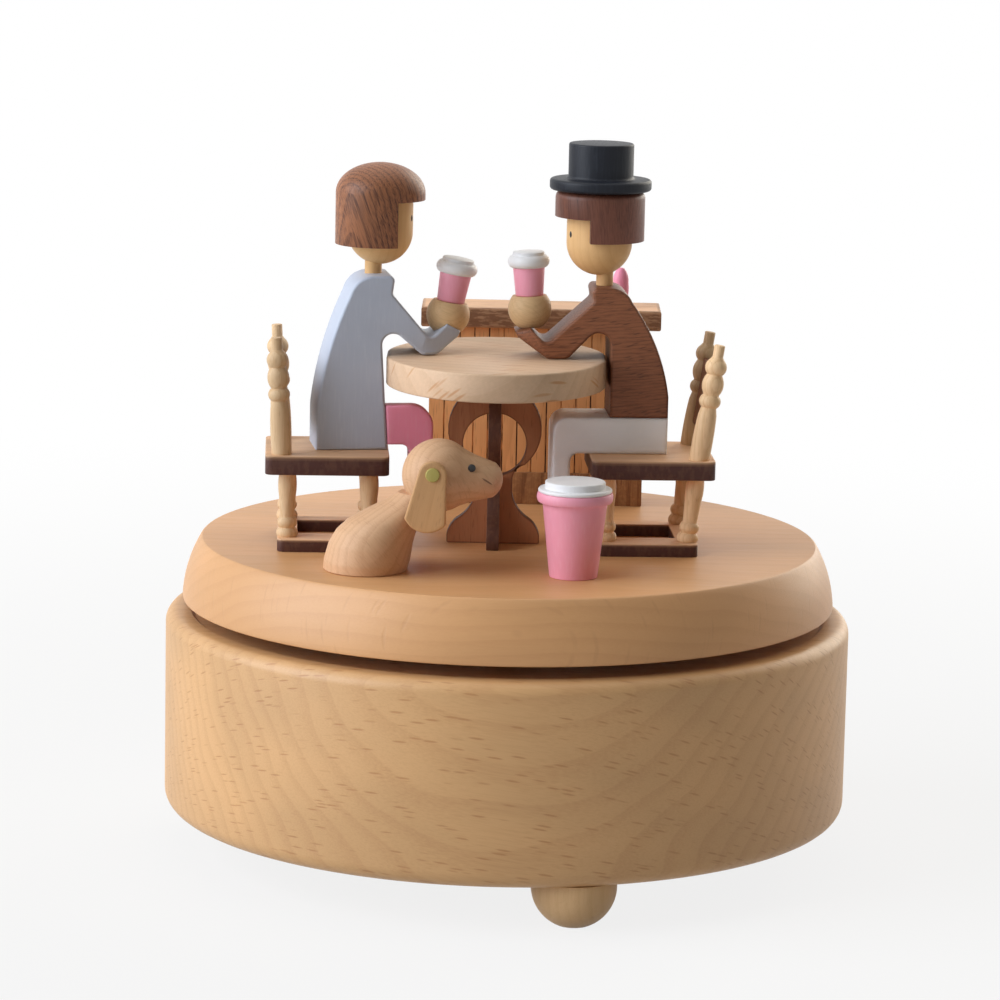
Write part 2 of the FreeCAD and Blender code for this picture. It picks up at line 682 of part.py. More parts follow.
def round_corners(body, places, radius, name):
    """Round the edges along Y at the given (x, z) places of a body that isn't placed yet."""
    DOC.recompute()
    names = upright_edges(body, places)
    if len(names) != len(places):
        raise RuntimeError("%s: %d of %d edges found" % (name, len(names), len(places)))
    fillet = body.newObject("PartDesign::Fillet", name)
    fillet.Base = (body.Tip if body.Tip != fillet else fillet.BaseFeature, names)
    bind(fillet, "Radius", radius)
    DOC.recompute()
    return fillet


def round_uprights(body, radius, name):
    """Round the four outer edges along Z of a box-shaped body that isn't placed yet."""
    DOC.recompute()
    box = body.Shape.BoundBox
    names = []
    for index, edge in enumerate(body.Shape.Edges):
        ends = [vertex.Point for vertex in edge.Vertexes]
        if len(ends) != 2 or abs(ends[0].z - ends[1].z) < 0.5:
            continue
        if all(min(abs(end.x - box.XMin), abs(end.x - box.XMax)) < 1e-6 for end in ends):
            if all(min(abs(end.y - box.YMin), abs(end.y - box.YMax)) < 1e-6 for end in ends):
                names.append("Edge%d" % (index + 1))
    tip = body.Tip
    fillet = body.newObject("PartDesign::Fillet", name)
    fillet.Base = (tip, names)
    bind(fillet, "Radius", radius)
    DOC.recompute()
    return fillet


def group(label, shapes):
    """Separate solids that share one node."""
    node = DOC.addObject("Part::Feature", label)
    node.Label = label
    node.Shape = Part.makeCompound(shapes)
    return node


def moved(shape, x, y, z, axis=None, angle=0.0):
    """A copy of a shape, turned about an axis through its origin and then moved."""
    copy = shape.copy()
    turn = FreeCAD.Rotation(axis, float(angle)) if axis is not None else FreeCAD.Rotation()
    copy.Placement = FreeCAD.Placement(FreeCAD.Vector(float(x), float(y), float(z)), turn)
    return copy


def around(count, radius, start):
    """Places (x, y) evenly round the axis, from a start angle in degrees."""
    places = []
    for index in range(count):
        angle = math.radians(float(start) + 360.0 * index / count)
        places.append((float(radius) * math.cos(angle), float(radius) * math.sin(angle)))
    return places


# Levels and places that several pieces share
drum_radius = S.drum_diameter / 2
foot_pitch_radius = drum_radius - S.foot_inset
platform_radius = drum_radius - S.platform_inset
deck_radius = platform_radius - S.deck_inset
drum_low = S.foot_height
drum_top = drum_low + S.drum_height
dish_floor = drum_top - S.drum_dish_depth
cavity_top = drum_top - S.drum_top_wall
plate_low = cavity_top - S.plate_thickness
train_axis = plate_low - S.train_axis_drop
platform_low = drum_top + S.platform_gap
deck = platform_low + S.platform_height
frame_top = deck + S.ring_thickness
seat_low = frame_top + S.leg_length
seat_top = seat_low + S.seat_thickness
table_low = deck + S.pedestal_height
FOOT_COUNT = 3
front_foot_angle = S.foot_turn - 90.0
cover_low = drum_low + S.cover_recess
cover_top = cover_low + S.cover_thickness
cover_bore = S.cover_radius + S.cover_clearance
COVER_SCREW_START = 30.0


def screw_master(head, height, shank, length, label):
    """A pan head wood screw, head down, with the head's underside at z 0."""
    profile = [
        (0.0, -height),
        (head * 0.75, -height),
        (head, height * -0.45, head, 1),
        (head, 0.0),
        (shank, 0.0),
        (shank, length - S.screw_tip),
        (0.0, length),
    ]
    screw = turned_body(label, profile)
    slot = new_sketch(screw, "XY_Plane", label + "_slot", -height)
    half = S.screw_slot_width / 2
    draw_outline(slot, rectangle(-head * 1.2, head * 1.2, -half, half))
    cut_pocket(screw, slot, S.screw_slot_depth, label + "_slot_cut")
    return screw


def make_drum():
    """Beech drum, bored from below for the movement and dished on top."""
    rim = drum_radius
    low = S.drum_bottom_round
    top = S.drum_top_round
    ledge = cover_top
    profile = [
        (cover_bore, drum_low),
        (rim - low, drum_low),
        (rim, drum_low + low, low, 1),
        (rim, drum_top - top),
        (rim - top, drum_top, top, 1),
        (rim - S.drum_rim, drum_top),
        (rim - S.drum_rim - S.drum_dish_depth, dish_floor),
        (S.shaft_hole_radius, dish_floor),
        (S.shaft_hole_radius, cavity_top),
        (S.cavity_radius, cavity_top),
        (S.cavity_radius, ledge),
        (cover_bore, ledge),
    ]
    drum = turned_body("drum", profile)
    tenons = new_sketch(drum, "XY_Plane", "tenon_holes", drum_low)
    angle = front_foot_angle
    draw_circle(tenons, foot_pitch_radius * cosine(angle), foot_pitch_radius * sine(angle),
                S.foot_tenon_radius + S.tenon_clearance)
    hole = cut_pocket(drum, tenons, S.foot_tenon_length + S.tenon_clearance, "tenon_hole")
    polar_copies(drum, hole, as_size(FOOT_COUNT), "tenon_hole_copies")
    plate_holes = new_sketch(drum, "XY_Plane", "plate_screw_holes", cavity_top)
    for x, y in plate_screw_places():
        draw_circle(plate_holes, x, y, S.screw_shank_radius)
    cut_pocket(drum, plate_holes, S.screw_length - S.plate_thickness, "plate_screw_hole")
    cover_holes = new_sketch(drum, "XY_Plane", "cover_screw_holes", cover_top)
    angle = as_size(COVER_SCREW_START)
    draw_circle(cover_holes, S.cover_screw_radius * cosine(angle), S.cover_screw_radius * sine(angle),
                S.screw_shank_radius)
    depth = S.screw_length - (S.cover_thickness - S.screw_head_height)
    hole = cut_pocket(drum, cover_holes, depth, "cover_screw_hole")
    polar_copies(drum, hole, as_size(FOOT_COUNT), "cover_screw_hole_copies")
    return drum


def make_cover():
    """Round plywood cover under the movement, with a sound hole and three sunk screws."""
    cover = new_body("bottom_cover")
    disc = new_sketch(cover, "XY_Plane", "cover_disc", cover_low)
    draw_circle(disc, 0.0, 0.0, S.cover_radius)
    draw_circle(disc, 0.0, 0.0, S.sound_hole_radius)
    add_pad(cover, disc, S.cover_thickness, "cover_board")
    angle = as_size(COVER_SCREW_START)
    x = S.cover_screw_radius * cosine(angle)
    y = S.cover_screw_radius * sine(angle)
    sunk = new_sketch(cover, "XY_Plane", "cover_sunk_hole", cover_low)
    draw_circle(sunk, x, y, S.screw_head_radius + S.screw_clearance)
    head = cut_pocket(cover, sunk, S.screw_head_height, "cover_head_hole")
    polar_copies(cover, head, as_size(FOOT_COUNT), "cover_head_copies")
    through = new_sketch(cover, "XY_Plane", "cover_shank_hole", cover_low)
    draw_circle(through, x, y, S.screw_shank_radius + S.screw_clearance)
    shank = cut_pocket(cover, through, S.cover_thickness, "cover_shank_cut")
    polar_copies(cover, shank, as_size(FOOT_COUNT), "cover_shank_copies")
    return cover


def make_feet():
    """Three turned ball feet with tenons, in one node."""
    ball = S.foot_radius
    centre = root(ball * ball - S.foot_flat_radius * S.foot_flat_radius)
    shoulder = root(ball * ball - (drum_low - centre) * (drum_low - centre))
    profile = [
        (0.0, 0.0),
        (S.foot_flat_radius, 0.0),
        (ball, centre, ball, 1),
        (shoulder, drum_low, ball, 1),
        (S.foot_tenon_radius, drum_low),
        (S.foot_tenon_radius, drum_low + S.foot_tenon_length),
        (0.0, drum_low + S.foot_tenon_length),
    ]
    master = turned_body("foot_turning", profile)
    places = around(FOOT_COUNT, foot_pitch_radius, front_foot_angle)
    return group("ball_feet", [moved(master.Shape, x, y, 0.0) for x, y in places])


def plate_screw_places():
    """Places of the three bedplate screws."""
    return [
        (-S.plate_screw_x, -S.plate_screw_y),
        (-S.plate_screw_x, S.plate_screw_y),
        (S.plate_screw_far_x, -S.plate_screw_y),
    ]


def make_base_screws():
    """Bedplate and cover screws, all alike, in one node."""
    master = screw_master(S.screw_head_radius, S.screw_head_height, S.screw_shank_radius,
                          S.screw_length, "screw_turning")
    shapes = [moved(master.Shape, x, y, plate_low) for x, y in plate_screw_places()]
    head_seat = cover_low + S.screw_head_height
    for x, y in around(FOOT_COUNT, S.cover_screw_radius, COVER_SCREW_START):
        shapes.append(moved(master.Shape, x, y, head_seat))
    return group("base_screws", shapes)


# Stations of the gear train along X, from the winding shaft outwards
pinion_start = S.crown_mean_radius - S.crown_face / 2
pinion_end = S.crown_mean_radius + S.crown_face / 2
inner_lug = pinion_end + S.lug_gap
cylinder_start = inner_lug + S.lug_thickness + S.lug_gap
cylinder_end = cylinder_start + S.cylinder_length
gear_start = cylinder_end
gear_end = gear_start + S.wheel_thickness
wheel_start = gear_end + S.lug_gap * 1.5
wheel_end = wheel_start + S.wheel_thickness
outer_lug = wheel_end + S.lug_gap * 1.6
outer_end = outer_lug + S.lug_thickness
governor_lug = gear_start - S.lug_gap - S.lug_thickness
worm_x = (wheel_start + wheel_end) / 2
governor_y = S.wheel_module * (S.cylinder_gear_teeth + S.governor_pinion_teeth) / 2
worm_wheel_radius = S.worm_module * S.worm_wheel_teeth / 2
worm_y = governor_y - worm_wheel_radius - S.worm_pitch_radius
crown_module = S.crown_mean_radius * 2 / S.crown_teeth
pinion_radius = crown_module * S.pinion_teeth / 2
crown_pitch_level = train_axis - pinion_radius
ADDENDUM = 0.8
DEDENDUM = 1.15
crown_root = crown_pitch_level - crown_module * DEDENDUM
crown_tip = crown_pitch_level + crown_module * ADDENDUM
housing_low = plate_low - S.housing_height
hub_top = housing_low - S.hub_gap
worm_lead = S.worm_module * math.pi
fan_low = cover_top + 2.0
fan_top = fan_low + S.fan_height
worm_bearing_low = fan_top + 0.8
worm_bearing_top = worm_bearing_low + S.lug_thickness
comb_top = train_axis + 0.2
comb_front = -(S.cylinder_radius + S.pin_height + S.comb_gap)
comb_root = comb_front - S.comb_reach
comb_back = comb_root - S.comb_base_depth
comb_length = S.note_count * S.note_pitch
comb_start = cylinder_start + (S.cylinder_length - comb_length) / 2
comb_end = comb_start + comb_length


def add_lug(body, name, start, low, half_left, half_right, middle):
    """A bearing lug hanging from the bedplate, across the X axis."""
    sketch = new_sketch(body, "YZ_Plane", name, start)
    draw_outline(sketch, rectangle(middle - half_left, middle + half_right, low, plate_low))
    return add_pad(body, sketch, S.lug_thickness, name + "_pad")


def bore_along_x(body, name, start, length, y, radius):
    """A bearing hole along X at the height of the gear train."""
    sketch = new_sketch(body, "YZ_Plane", name, start)
    draw_circle(sketch, y, train_axis, radius + S.bearing_clearance)
    return cut_pocket(body, sketch, length, name + "_bore")


def make_bedplate():
    """Die-cast bedplate with its bearing lugs and the comb's block."""
    plate = new_body("bedplate")
    board = new_sketch(plate, "XY_Plane", "plate_outline", plate_low)
    draw_outline(board, rectangle(-S.plate_left, S.plate_right, -S.plate_half_depth, S.plate_half_depth))
    add_pad(plate, board, S.plate_thickness, "plate_board")
    round_uprights(plate, S.plate_corner, "plate_corners")
    lug_low = train_axis - S.lug_below_axis
    add_lug(plate, "inner_lug", inner_lug, lug_low, S.lug_half_width, S.lug_half_width, as_size(0.0))
    governor_half = S.governor_shaft_radius + 0.9
    add_lug(plate, "governor_lug", governor_lug, train_axis - 1.8, governor_half, governor_half, governor_y)
    outer = new_sketch(plate, "YZ_Plane", "outer_lug", outer_lug)
    draw_outline(outer, rectangle(-S.lug_half_width, governor_y + S.lug_half_width, lug_low, plate_low))
    add_pad(plate, outer, S.lug_thickness, "outer_lug_pad")
    drop = new_sketch(plate, "YZ_Plane", "worm_drop", outer_lug)
    worm_half = S.worm_pivot_radius + 1.0
    draw_outline(drop, rectangle(worm_y - worm_half, worm_y + worm_half, worm_bearing_low, lug_low))
    add_pad(plate, drop, S.lug_thickness, "worm_drop_pad")
    shelf = new_sketch(plate, "XY_Plane", "worm_shelf", worm_bearing_low)
    draw_outline(shelf, rectangle(worm_x - worm_half, outer_end, worm_y - worm_half, worm_y + worm_half))
    add_pad(plate, shelf, S.lug_thickness, "worm_shelf_pad")
    block = new_sketch(plate, "XY_Plane", "comb_block", comb_top)
    draw_outline(block, rectangle(comb_start, comb_end, comb_back, comb_root))
    add_pad(plate, block, plate_low - comb_top, "comb_block_pad")
    DOC.recompute()
    centre = new_sketch(plate, "XY_Plane", "arbor_bearing", plate_low)
    draw_circle(centre, 0.0, 0.0, S.arbor_radius + S.bearing_clearance)
    cut_pocket(plate, centre, S.plate_thickness, "arbor_bore")
    holes = new_sketch(plate, "XY_Plane", "plate_holes", plate_low)
    for x, y in plate_screw_places():
        draw_circle(holes, x, y, S.screw_shank_radius + S.screw_clearance)
    cut_pocket(plate, holes, S.plate_thickness, "plate_hole_cut")
    worm_holes = new_sketch(plate, "XY_Plane", "worm_pivots", worm_bearing_low)
    draw_circle(worm_holes, worm_x, worm_y, S.worm_pivot_radius + S.bearing_clearance)
    cut_pocket(plate, worm_holes, plate_low + S.plate_thickness / 2 - worm_bearing_low, "worm_pivot_bore")
    bore_along_x(plate, "cylinder_inner_bearing", inner_lug, S.lug_thickness, 0.0, S.shaft_radius)
    bore_along_x(plate, "cylinder_outer_bearing", outer_lug, S.lug_thickness, 0.0, S.shaft_radius)
    bore_along_x(plate, "governor_inner_bearing", governor_lug, S.lug_thickness, governor_y,
                 S.governor_shaft_radius)
    bore_along_x(plate, "governor_outer_bearing", outer_lug, S.lug_thickness, governor_y,
                 S.governor_shaft_radius)
    comb_holes = new_sketch(plate, "XY_Plane", "comb_screw_holes", comb_top)
    for x in comb_screw_xs():
        draw_circle(comb_holes, x, comb_screw_y(), S.comb_screw_shank)
    cut_pocket(plate, comb_holes, S.comb_screw_length - S.comb_thickness, "comb_screw_bores")
    return plate


def comb_screw_xs():
    """Places of the two comb screws along the comb."""
    middle = (comb_start + comb_end) / 2
    return [middle - S.comb_screw_spacing / 2, middle + S.comb_screw_spacing / 2]


def comb_screw_y():
    """Line of the comb screws."""
    return (comb_back + comb_root) / 2


def make_housing():
    """Pressed cup under the bedplate that holds the mainspring."""
    wall = S.housing_wall
    bore = S.arbor_radius + S.bearing_clearance
    return turned_body("spring_housing", [
        (bore, housing_low),
        (S.housing_radius, housing_low),
        (S.housing_radius, plate_low),
        (S.housing_radius - wall, plate_low),
        (S.housing_radius - wall, housing_low + wall),
        (bore, housing_low + wall),
    ])


def make_mainspring():
    """Flat spiral strip of half circles, hooked to the housing's wall at its outer end."""
    half_turns = int(float(S.spring_turns)) * 2
    thickness = float(S.spring_thickness)
    room = S.housing_radius - S.housing_wall - S.spring_inner_radius - thickness
    step = float(room) / (2 * half_turns)
    low = float(housing_low + S.housing_wall + S.spring_gap)
    inner_edge = []
    outer_edge = []
    for index in range(half_turns):
        radius = float(S.spring_inner_radius) + step * (2 * index + 1)
        centre_x = -step if index % 2 else step
        sign = -1.0 if index % 2 else 1.0
        for edges, size in ((inner_edge, radius), (outer_edge, radius + thickness)):
            start = FreeCAD.Vector(centre_x - sign * size, 0, low)
            middle = FreeCAD.Vector(centre_x, sign * size, low)
            end = FreeCAD.Vector(centre_x + sign * size, 0, low)
            edges.append(Part.Arc(start, middle, end).toShape())
    first = Part.LineSegment(inner_edge[0].Vertexes[0].Point, outer_edge[0].Vertexes[0].Point).toShape()
    last = Part.LineSegment(inner_edge[-1].Vertexes[-1].Point, outer_edge[-1].Vertexes[-1].Point).toShape()
    strip = Part.Face(Part.Wire(Part.__sortEdges__(inner_edge + outer_edge + [first, last])))
    spring = DOC.addObject("Part::Feature", "mainspring")
    spring.Label = "mainspring"
    spring.Shape = strip.extrude(FreeCAD.Vector(0, 0, float(S.spring_width)))
    return spring


def tooth_corners(root_radius, tip_radius, root_half, tip_half):
    """A tapered gear tooth about the X axis, sunk a little into its disc."""
    sunk = root_radius - 0.15
    return [(sunk, -root_half), (tip_radius, -tip_half), (tip_radius, tip_half), (sunk, root_half)]


def add_teeth(body, name, count, module, low, length, turn=None):
    """Teeth round the body's Z axis, thinned for backlash."""
    pitch_radius = module * count / 2
    root_radius = pitch_radius - module * DEDENDUM
    tip_radius = pitch_radius + module * ADDENDUM
    half = module * math.pi / 4 - S.gear_backlash
    sketch = new_sketch(body, "XY_Plane", name, low, turn)
    draw_outline(sketch, tooth_corners(root_radius, tip_radius, half * 1.35, half * 0.55))
    tooth = add_pad(body, sketch, length, name + "_tooth")
    DOC.recompute()
    return polar_copies(body, tooth, count, name + "_teeth")


def root_of(module, count):
    """Root radius of a gear."""
    return module * count / 2 - module * DEDENDUM


def lay_along_x(body, y, z):
    """Turn a body's Z axis onto X, and its X axis down, at the given line."""
    place(body, 0.0, y, z, Y_AXIS, as_size(90.0))


def make_drive_gear():
    """Crown gear pressed on the winding shaft, with its teeth on the upper face."""
    outer = pinion_end + S.crown_rim
    low = crown_root - S.crown_disc
    gear = turned_body("drive_gear", [
        (S.arbor_radius, low),
        (outer, low),
        (outer, crown_root),
        (S.crown_hub_radius, crown_root),
        (S.crown_hub_radius, hub_top),
        (S.arbor_radius, hub_top),
    ])
    half = crown_module * math.pi / 4 - S.gear_backlash
    sketch = new_sketch(gear, "YZ_Plane", "crown_tooth_outline", pinion_start)
    sunk = crown_root - 0.1
    draw_outline(sketch, [
        (-half * 1.3, sunk),
        (half * 1.3, sunk),
        (half * 0.5, crown_tip),
        (-half * 0.5, crown_tip),
    ])
    tooth = add_pad(gear, sketch, S.crown_face, "crown_tooth")
    DOC.recompute()
    polar_copies(gear, tooth, S.crown_teeth, "crown_teeth")
    place(gear, 0.0, 0.0, 0.0, Z_AXIS, 180.0 / S.crown_teeth)
    return gear


def make_arbor():
    """Winding shaft from under the drive gear up into the platform's flange."""
    low = crown_root - S.crown_disc - 0.5
    top = platform_low + S.flange_thickness + S.flange_hub_height
    return turned_body("winding_arbor", [
        (0.0, low),
        (S.arbor_radius - 0.3, low),
        (S.arbor_radius, low + 0.3),
        (S.arbor_radius, top - 0.3),
        (S.arbor_radius - 0.3, top),
        (0.0, top),
    ])


def make_cylinder_pinion():
    """Cylinder shaft with its pinion cut from the solid."""
    core = root_of(crown_module, S.pinion_teeth)
    shaft = S.shaft_radius
    pinion = turned_body("cylinder_pinion", [
        (0.0, pinion_start - 0.5),
        (shaft, pinion_start - 0.5),
        (shaft, pinion_start),
        (core, pinion_start),
        (core, pinion_end),
        (shaft, pinion_end),
        (shaft, outer_end),
        (0.0, outer_end),
    ])
    add_teeth(pinion, "pinion", S.pinion_teeth, crown_module, pinion_start, S.crown_face)
    lay_along_x(pinion, 0.0, train_axis)
    return pinion


def make_cylinder():
    """Brass cylinder with its note pins, spread over the tune by a fixed rule."""
    radius = float(S.cylinder_radius)
    start = float(cylinder_start)
    barrel = Part.makeCylinder(radius, float(S.cylinder_length), FreeCAD.Vector(start, 0, 0), X_AXIS)
    barrel = barrel.cut(Part.makeCylinder(float(S.shaft_radius), float(S.cylinder_length),
                                          FreeCAD.Vector(start, 0, 0), X_AXIS))
    size = float(S.pin_size)
    height = float(S.pin_height)
    sunk = 0.2
    notes = int(float(S.note_count))
    count = int(float(S.pin_count))
    stride = 7
    pins = []
    for index in range(count):
        track = (index * stride + index // notes) % notes
        x = float(comb_start) + float(S.note_pitch) * (track + 0.5) - size / 2
        pin = Part.makeBox(size, size, height + sunk, FreeCAD.Vector(x, -size / 2, radius - sunk))
        pin.rotate(FreeCAD.Vector(), X_AXIS, 360.0 * (index + 0.5) / count)
        pins.append(pin)
    cylinder = DOC.addObject("Part::Feature", "cylinder")
    cylinder.Label = "cylinder"
    cylinder.Shape = barrel.multiFuse(pins)
    place(cylinder, 0.0, 0.0, train_axis)
    return cylinder


def make_cylinder_gear():
    """Large gear on the end of the cylinder."""
    core = root_of(S.wheel_module, S.cylinder_gear_teeth)
    gear = turned_body("cylinder_gear", [
        (S.shaft_radius, gear_start),
        (core, gear_start),
        (core, gear_end),
        (S.shaft_radius, gear_end),
    ])
    add_teeth(gear, "cylinder_gear", S.cylinder_gear_teeth, S.wheel_module, gear_start, S.wheel_thickness)
    lay_along_x(gear, 0.0, train_axis)
    return gear


def make_governor_wheel():
    """Governor shaft with its pinion and the wheel that drives the worm."""
    pinion_core = root_of(S.wheel_module, S.governor_pinion_teeth)
    wheel_core = root_of(S.worm_module, S.worm_wheel_teeth)
    shaft = S.governor_shaft_radius
    wheel = turned_body("governor_wheel", [
        (0.0, governor_lug),
        (shaft, governor_lug),
        (shaft, gear_start),
        (pinion_core, gear_start),
        (pinion_core, gear_end),
        (shaft, gear_end),
        (shaft, wheel_start),
        (wheel_core, wheel_start),
        (wheel_core, wheel_end),
        (shaft, wheel_end),
        (shaft, outer_end),
        (0.0, outer_end),
    ])
    add_teeth(wheel, "governor_pinion", S.governor_pinion_teeth, S.wheel_module, gear_start,
              S.wheel_thickness, 180.0 / S.governor_pinion_teeth)
    add_teeth(wheel, "worm_wheel", S.worm_wheel_teeth, S.worm_module, wheel_start, S.wheel_thickness)
    lay_along_x(wheel, governor_y, train_axis)
    return wheel


def make_worm():
    """Governor worm with a single right-hand thread, and its air brake."""
    pivot = S.worm_pivot_radius
    top = plate_low + S.plate_thickness / 2 - S.worm_end_play
    core_low = worm_bearing_top + 0.3
    core_top = plate_low - 0.3
    worm = turned_body("governor_worm", [
        (0.0, fan_low),
        (S.worm_core_radius, fan_low),
        (S.worm_core_radius, fan_top),
        (pivot, fan_top),
        (pivot, core_low),
        (S.worm_core_radius, core_low),
        (S.worm_core_radius, core_top),
        (pivot, core_top),
        (pivot, top),
        (0.0, top),
    ])
    thread_low = train_axis + worm_lead / 4 - worm_lead * 3
    root_half = worm_lead * 0.25 - S.gear_backlash
    tip_half = root_half * 0.55
    sketch = new_sketch(worm, "XZ_Plane", "thread_profile")
    sunk = S.worm_core_radius - 0.2
    draw_outline(sketch, [
        (sunk, thread_low - root_half),
        (S.worm_tip_radius, thread_low - tip_half),
        (S.worm_tip_radius, thread_low + tip_half),
        (sunk, thread_low + root_half),
    ])
    thread = worm.newObject("PartDesign::AdditiveHelix", "thread")
    thread.Profile = sketch
    thread.ReferenceAxis = (sketch, ["V_Axis"])
    thread.Mode = "pitch-height-angle"
    bind(thread, "Pitch", worm_lead)
    bind(thread, "Height", worm_lead * S.worm_turns)
    thread.LeftHanded = False
    DOC.recompute()
    blade = new_sketch(worm, "XY_Plane", "fan_outline", fan_low)
    half = S.fan_length / 2
    thin = S.fan_thickness / 2
    draw_outline(blade, rectangle(-half, half, -thin, thin))
    add_pad(worm, blade, S.fan_height, "fan")
    DOC.recompute()
    place(worm, worm_x, worm_y, 0.0)
    return worm


def make_comb():
    """Steel comb: a thick base and thin teeth, longest at the bass end."""
    comb = new_body("comb")
    base = new_sketch(comb, "XY_Plane", "comb_base", comb_top - S.comb_thickness)
    draw_outline(base, rectangle(comb_start, comb_end, comb_back, comb_root))
    add_pad(comb, base, S.comb_thickness, "comb_base_pad")
    blade = new_sketch(comb, "XY_Plane", "comb_teeth", comb_top - S.tooth_thickness)
    draw_outline(blade, rectangle(comb_start, comb_end, comb_root - 0.5, comb_front))
    add_pad(comb, blade, S.tooth_thickness, "comb_teeth_pad")
    DOC.recompute()
    cuts = new_sketch(comb, "XY_Plane", "comb_slots", comb_top - S.comb_thickness)
    half = S.note_slot / 2
    for index in range(1, int(float(S.note_count))):
        middle = comb_start + S.note_pitch * index
        extra = S.comb_base_depth * (0.32 * index / float(S.note_count))
        draw_outline(cuts, rectangle(middle - half, middle + half, comb_root - extra, comb_front + 0.5))
    cut_pocket(comb, cuts, S.comb_thickness, "comb_slot_cuts")
    holes = new_sketch(comb, "XY_Plane", "comb_holes", comb_top - S.comb_thickness)
    for x in comb_screw_xs():
        draw_circle(holes, x, comb_screw_y(), S.comb_screw_shank + 0.1)
    cut_pocket(comb, holes, S.comb_thickness, "comb_hole_cuts")
    return comb


def make_comb_screws():
    """Two screws that hold the comb to its block."""
    master = screw_master(S.comb_screw_head, S.comb_screw_height, S.comb_screw_shank,
                          S.comb_screw_length, "comb_screw_turning")
    seat = comb_top - S.comb_thickness
    return group("comb_screws", [moved(master.Shape, x, comb_screw_y(), seat) for x in comb_screw_xs()])


def make_flange():
    """Metal flange on the winding shaft's end, let into the platform."""
    flange = turned_body("turntable_flange", [
        (S.arbor_radius, platform_low),
        (S.flange_radius, platform_low),
        (S.flange_radius, platform_low + S.flange_thickness),
        (S.flange_hub_radius, platform_low + S.flange_thickness),
        (S.flange_hub_radius, platform_low + S.flange_thickness + S.flange_hub_height),
        (S.arbor_radius, platform_low + S.flange_thickness + S.flange_hub_height),
    ])
    holes = new_sketch(flange, "XY_Plane", "flange_hole", platform_low)
    draw_circle(holes, S.flange_screw_radius, 0.0, S.screw_shank_radius + S.screw_clearance)
    hole = cut_pocket(flange, holes, S.flange_thickness, "flange_hole_cut")
    polar_copies(flange, hole, as_size(FOOT_COUNT), "flange_hole_copies")
    return flange


def make_flange_screws():
    """Three screws up into the platform."""
    master = DOC.getObject("screw_turning")
    places = around(FOOT_COUNT, S.flange_screw_radius, 0.0)
    return group("flange_screws", [moved(master.Shape, x, y, platform_low) for x, y in places])


def make_platform():
    """Round beech platform with a bowed side."""
    pocket = S.flange_radius + S.flange_clearance
    hub = S.flange_hub_radius + S.flange_clearance
    hub_top_level = platform_low + S.flange_thickness + S.flange_hub_height + S.flange_clearance
    chamfer = S.deck_chamfer
    platform = turned_body("platform", [
        (0.0, hub_top_level),
        (hub, hub_top_level),
        (hub, platform_low + S.flange_thickness),
        (pocket, platform_low + S.flange_thickness),
        (pocket, platform_low),
        (platform_radius, platform_low),
        (deck_radius, deck - chamfer, S.platform_bow, 1),
        (deck_radius - chamfer, deck),
        (0.0, deck),
    ])
    holes = new_sketch(platform, "XY_Plane", "flange_screw_hole", platform_low + S.flange_thickness)
    draw_circle(holes, S.flange_screw_radius, 0.0, S.screw_shank_radius)
    hole = cut_pocket(platform, holes, S.screw_length - S.flange_thickness, "flange_screw_bore")
    polar_copies(platform, hole, as_size(FOOT_COUNT), "flange_screw_bores")
    return platform


def make_table_top():
    """Oval beech tabletop with two laser-cut flats."""
    oval = DOC.addObject("Part::Ellipse", "table_oval")
    bind(oval, "MajorRadius", S.table_length / 2)
    bind(oval, "MinorRadius", S.table_width / 2)
    board = DOC.addObject("Part::Extrusion", "table_board")
    board.Base = oval
    board.Dir = Z_AXIS
    board.Solid = True
    bind(board, "LengthFwd", S.table_thickness)
    trim = DOC.addObject("Part::Box", "table_trim")
    bind(trim, "Length", S.table_length)
    bind(trim, "Width", S.table_flat_width)
    bind(trim, "Height", S.table_thickness)
    bind(trim, "Placement.Base.x", -S.table_length / 2)
    bind(trim, "Placement.Base.y", -S.table_flat_width / 2)
    top = DOC.addObject("Part::MultiCommon", "table_top")
    top.Label = "table_top"
    top.Shapes = [board, trim]
    DOC.recompute()
    place(top, S.table_x, S.table_y, table_low, Z_AXIS, as_size(90.0))
    return top


def pedestal_outline():
    """Right half of the pedestal's outline from the foot to the ring, then its mirror, above the deck."""
    centre = S.pedestal_height + S.ring_flat - S.ring_radius
    flat = root(S.ring_radius * S.ring_radius - (S.pedestal_height - centre) * (S.pedestal_height - centre))
    neck = centre - root(S.ring_radius * S.ring_radius - S.neck_half * S.neck_half)
    right = [
        (S.pedestal_foot, S.foot_rise),
        (S.foot_bend_half, S.foot_bend_height, S.foot_bulge, 1),
        (S.stem_half, S.stem_low, S.foot_hollow, -1),
        (S.stem_half, S.stem_high),
        (S.neck_half, neck, S.neck_fillet, -1),
        (flat, S.pedestal_height, S.ring_radius, 1),
    ]
    corners = [(-S.pedestal_foot, 0.0), (S.pedestal_foot, 0.0)] + right
    corners.append((-flat, S.pedestal_height))
    bends = [corner[2:] for corner in right]
    for index in range(len(right) - 2, -1, -1):
        corners.append((-right[index][0], right[index][1]) + bends[index + 1])
    return corners


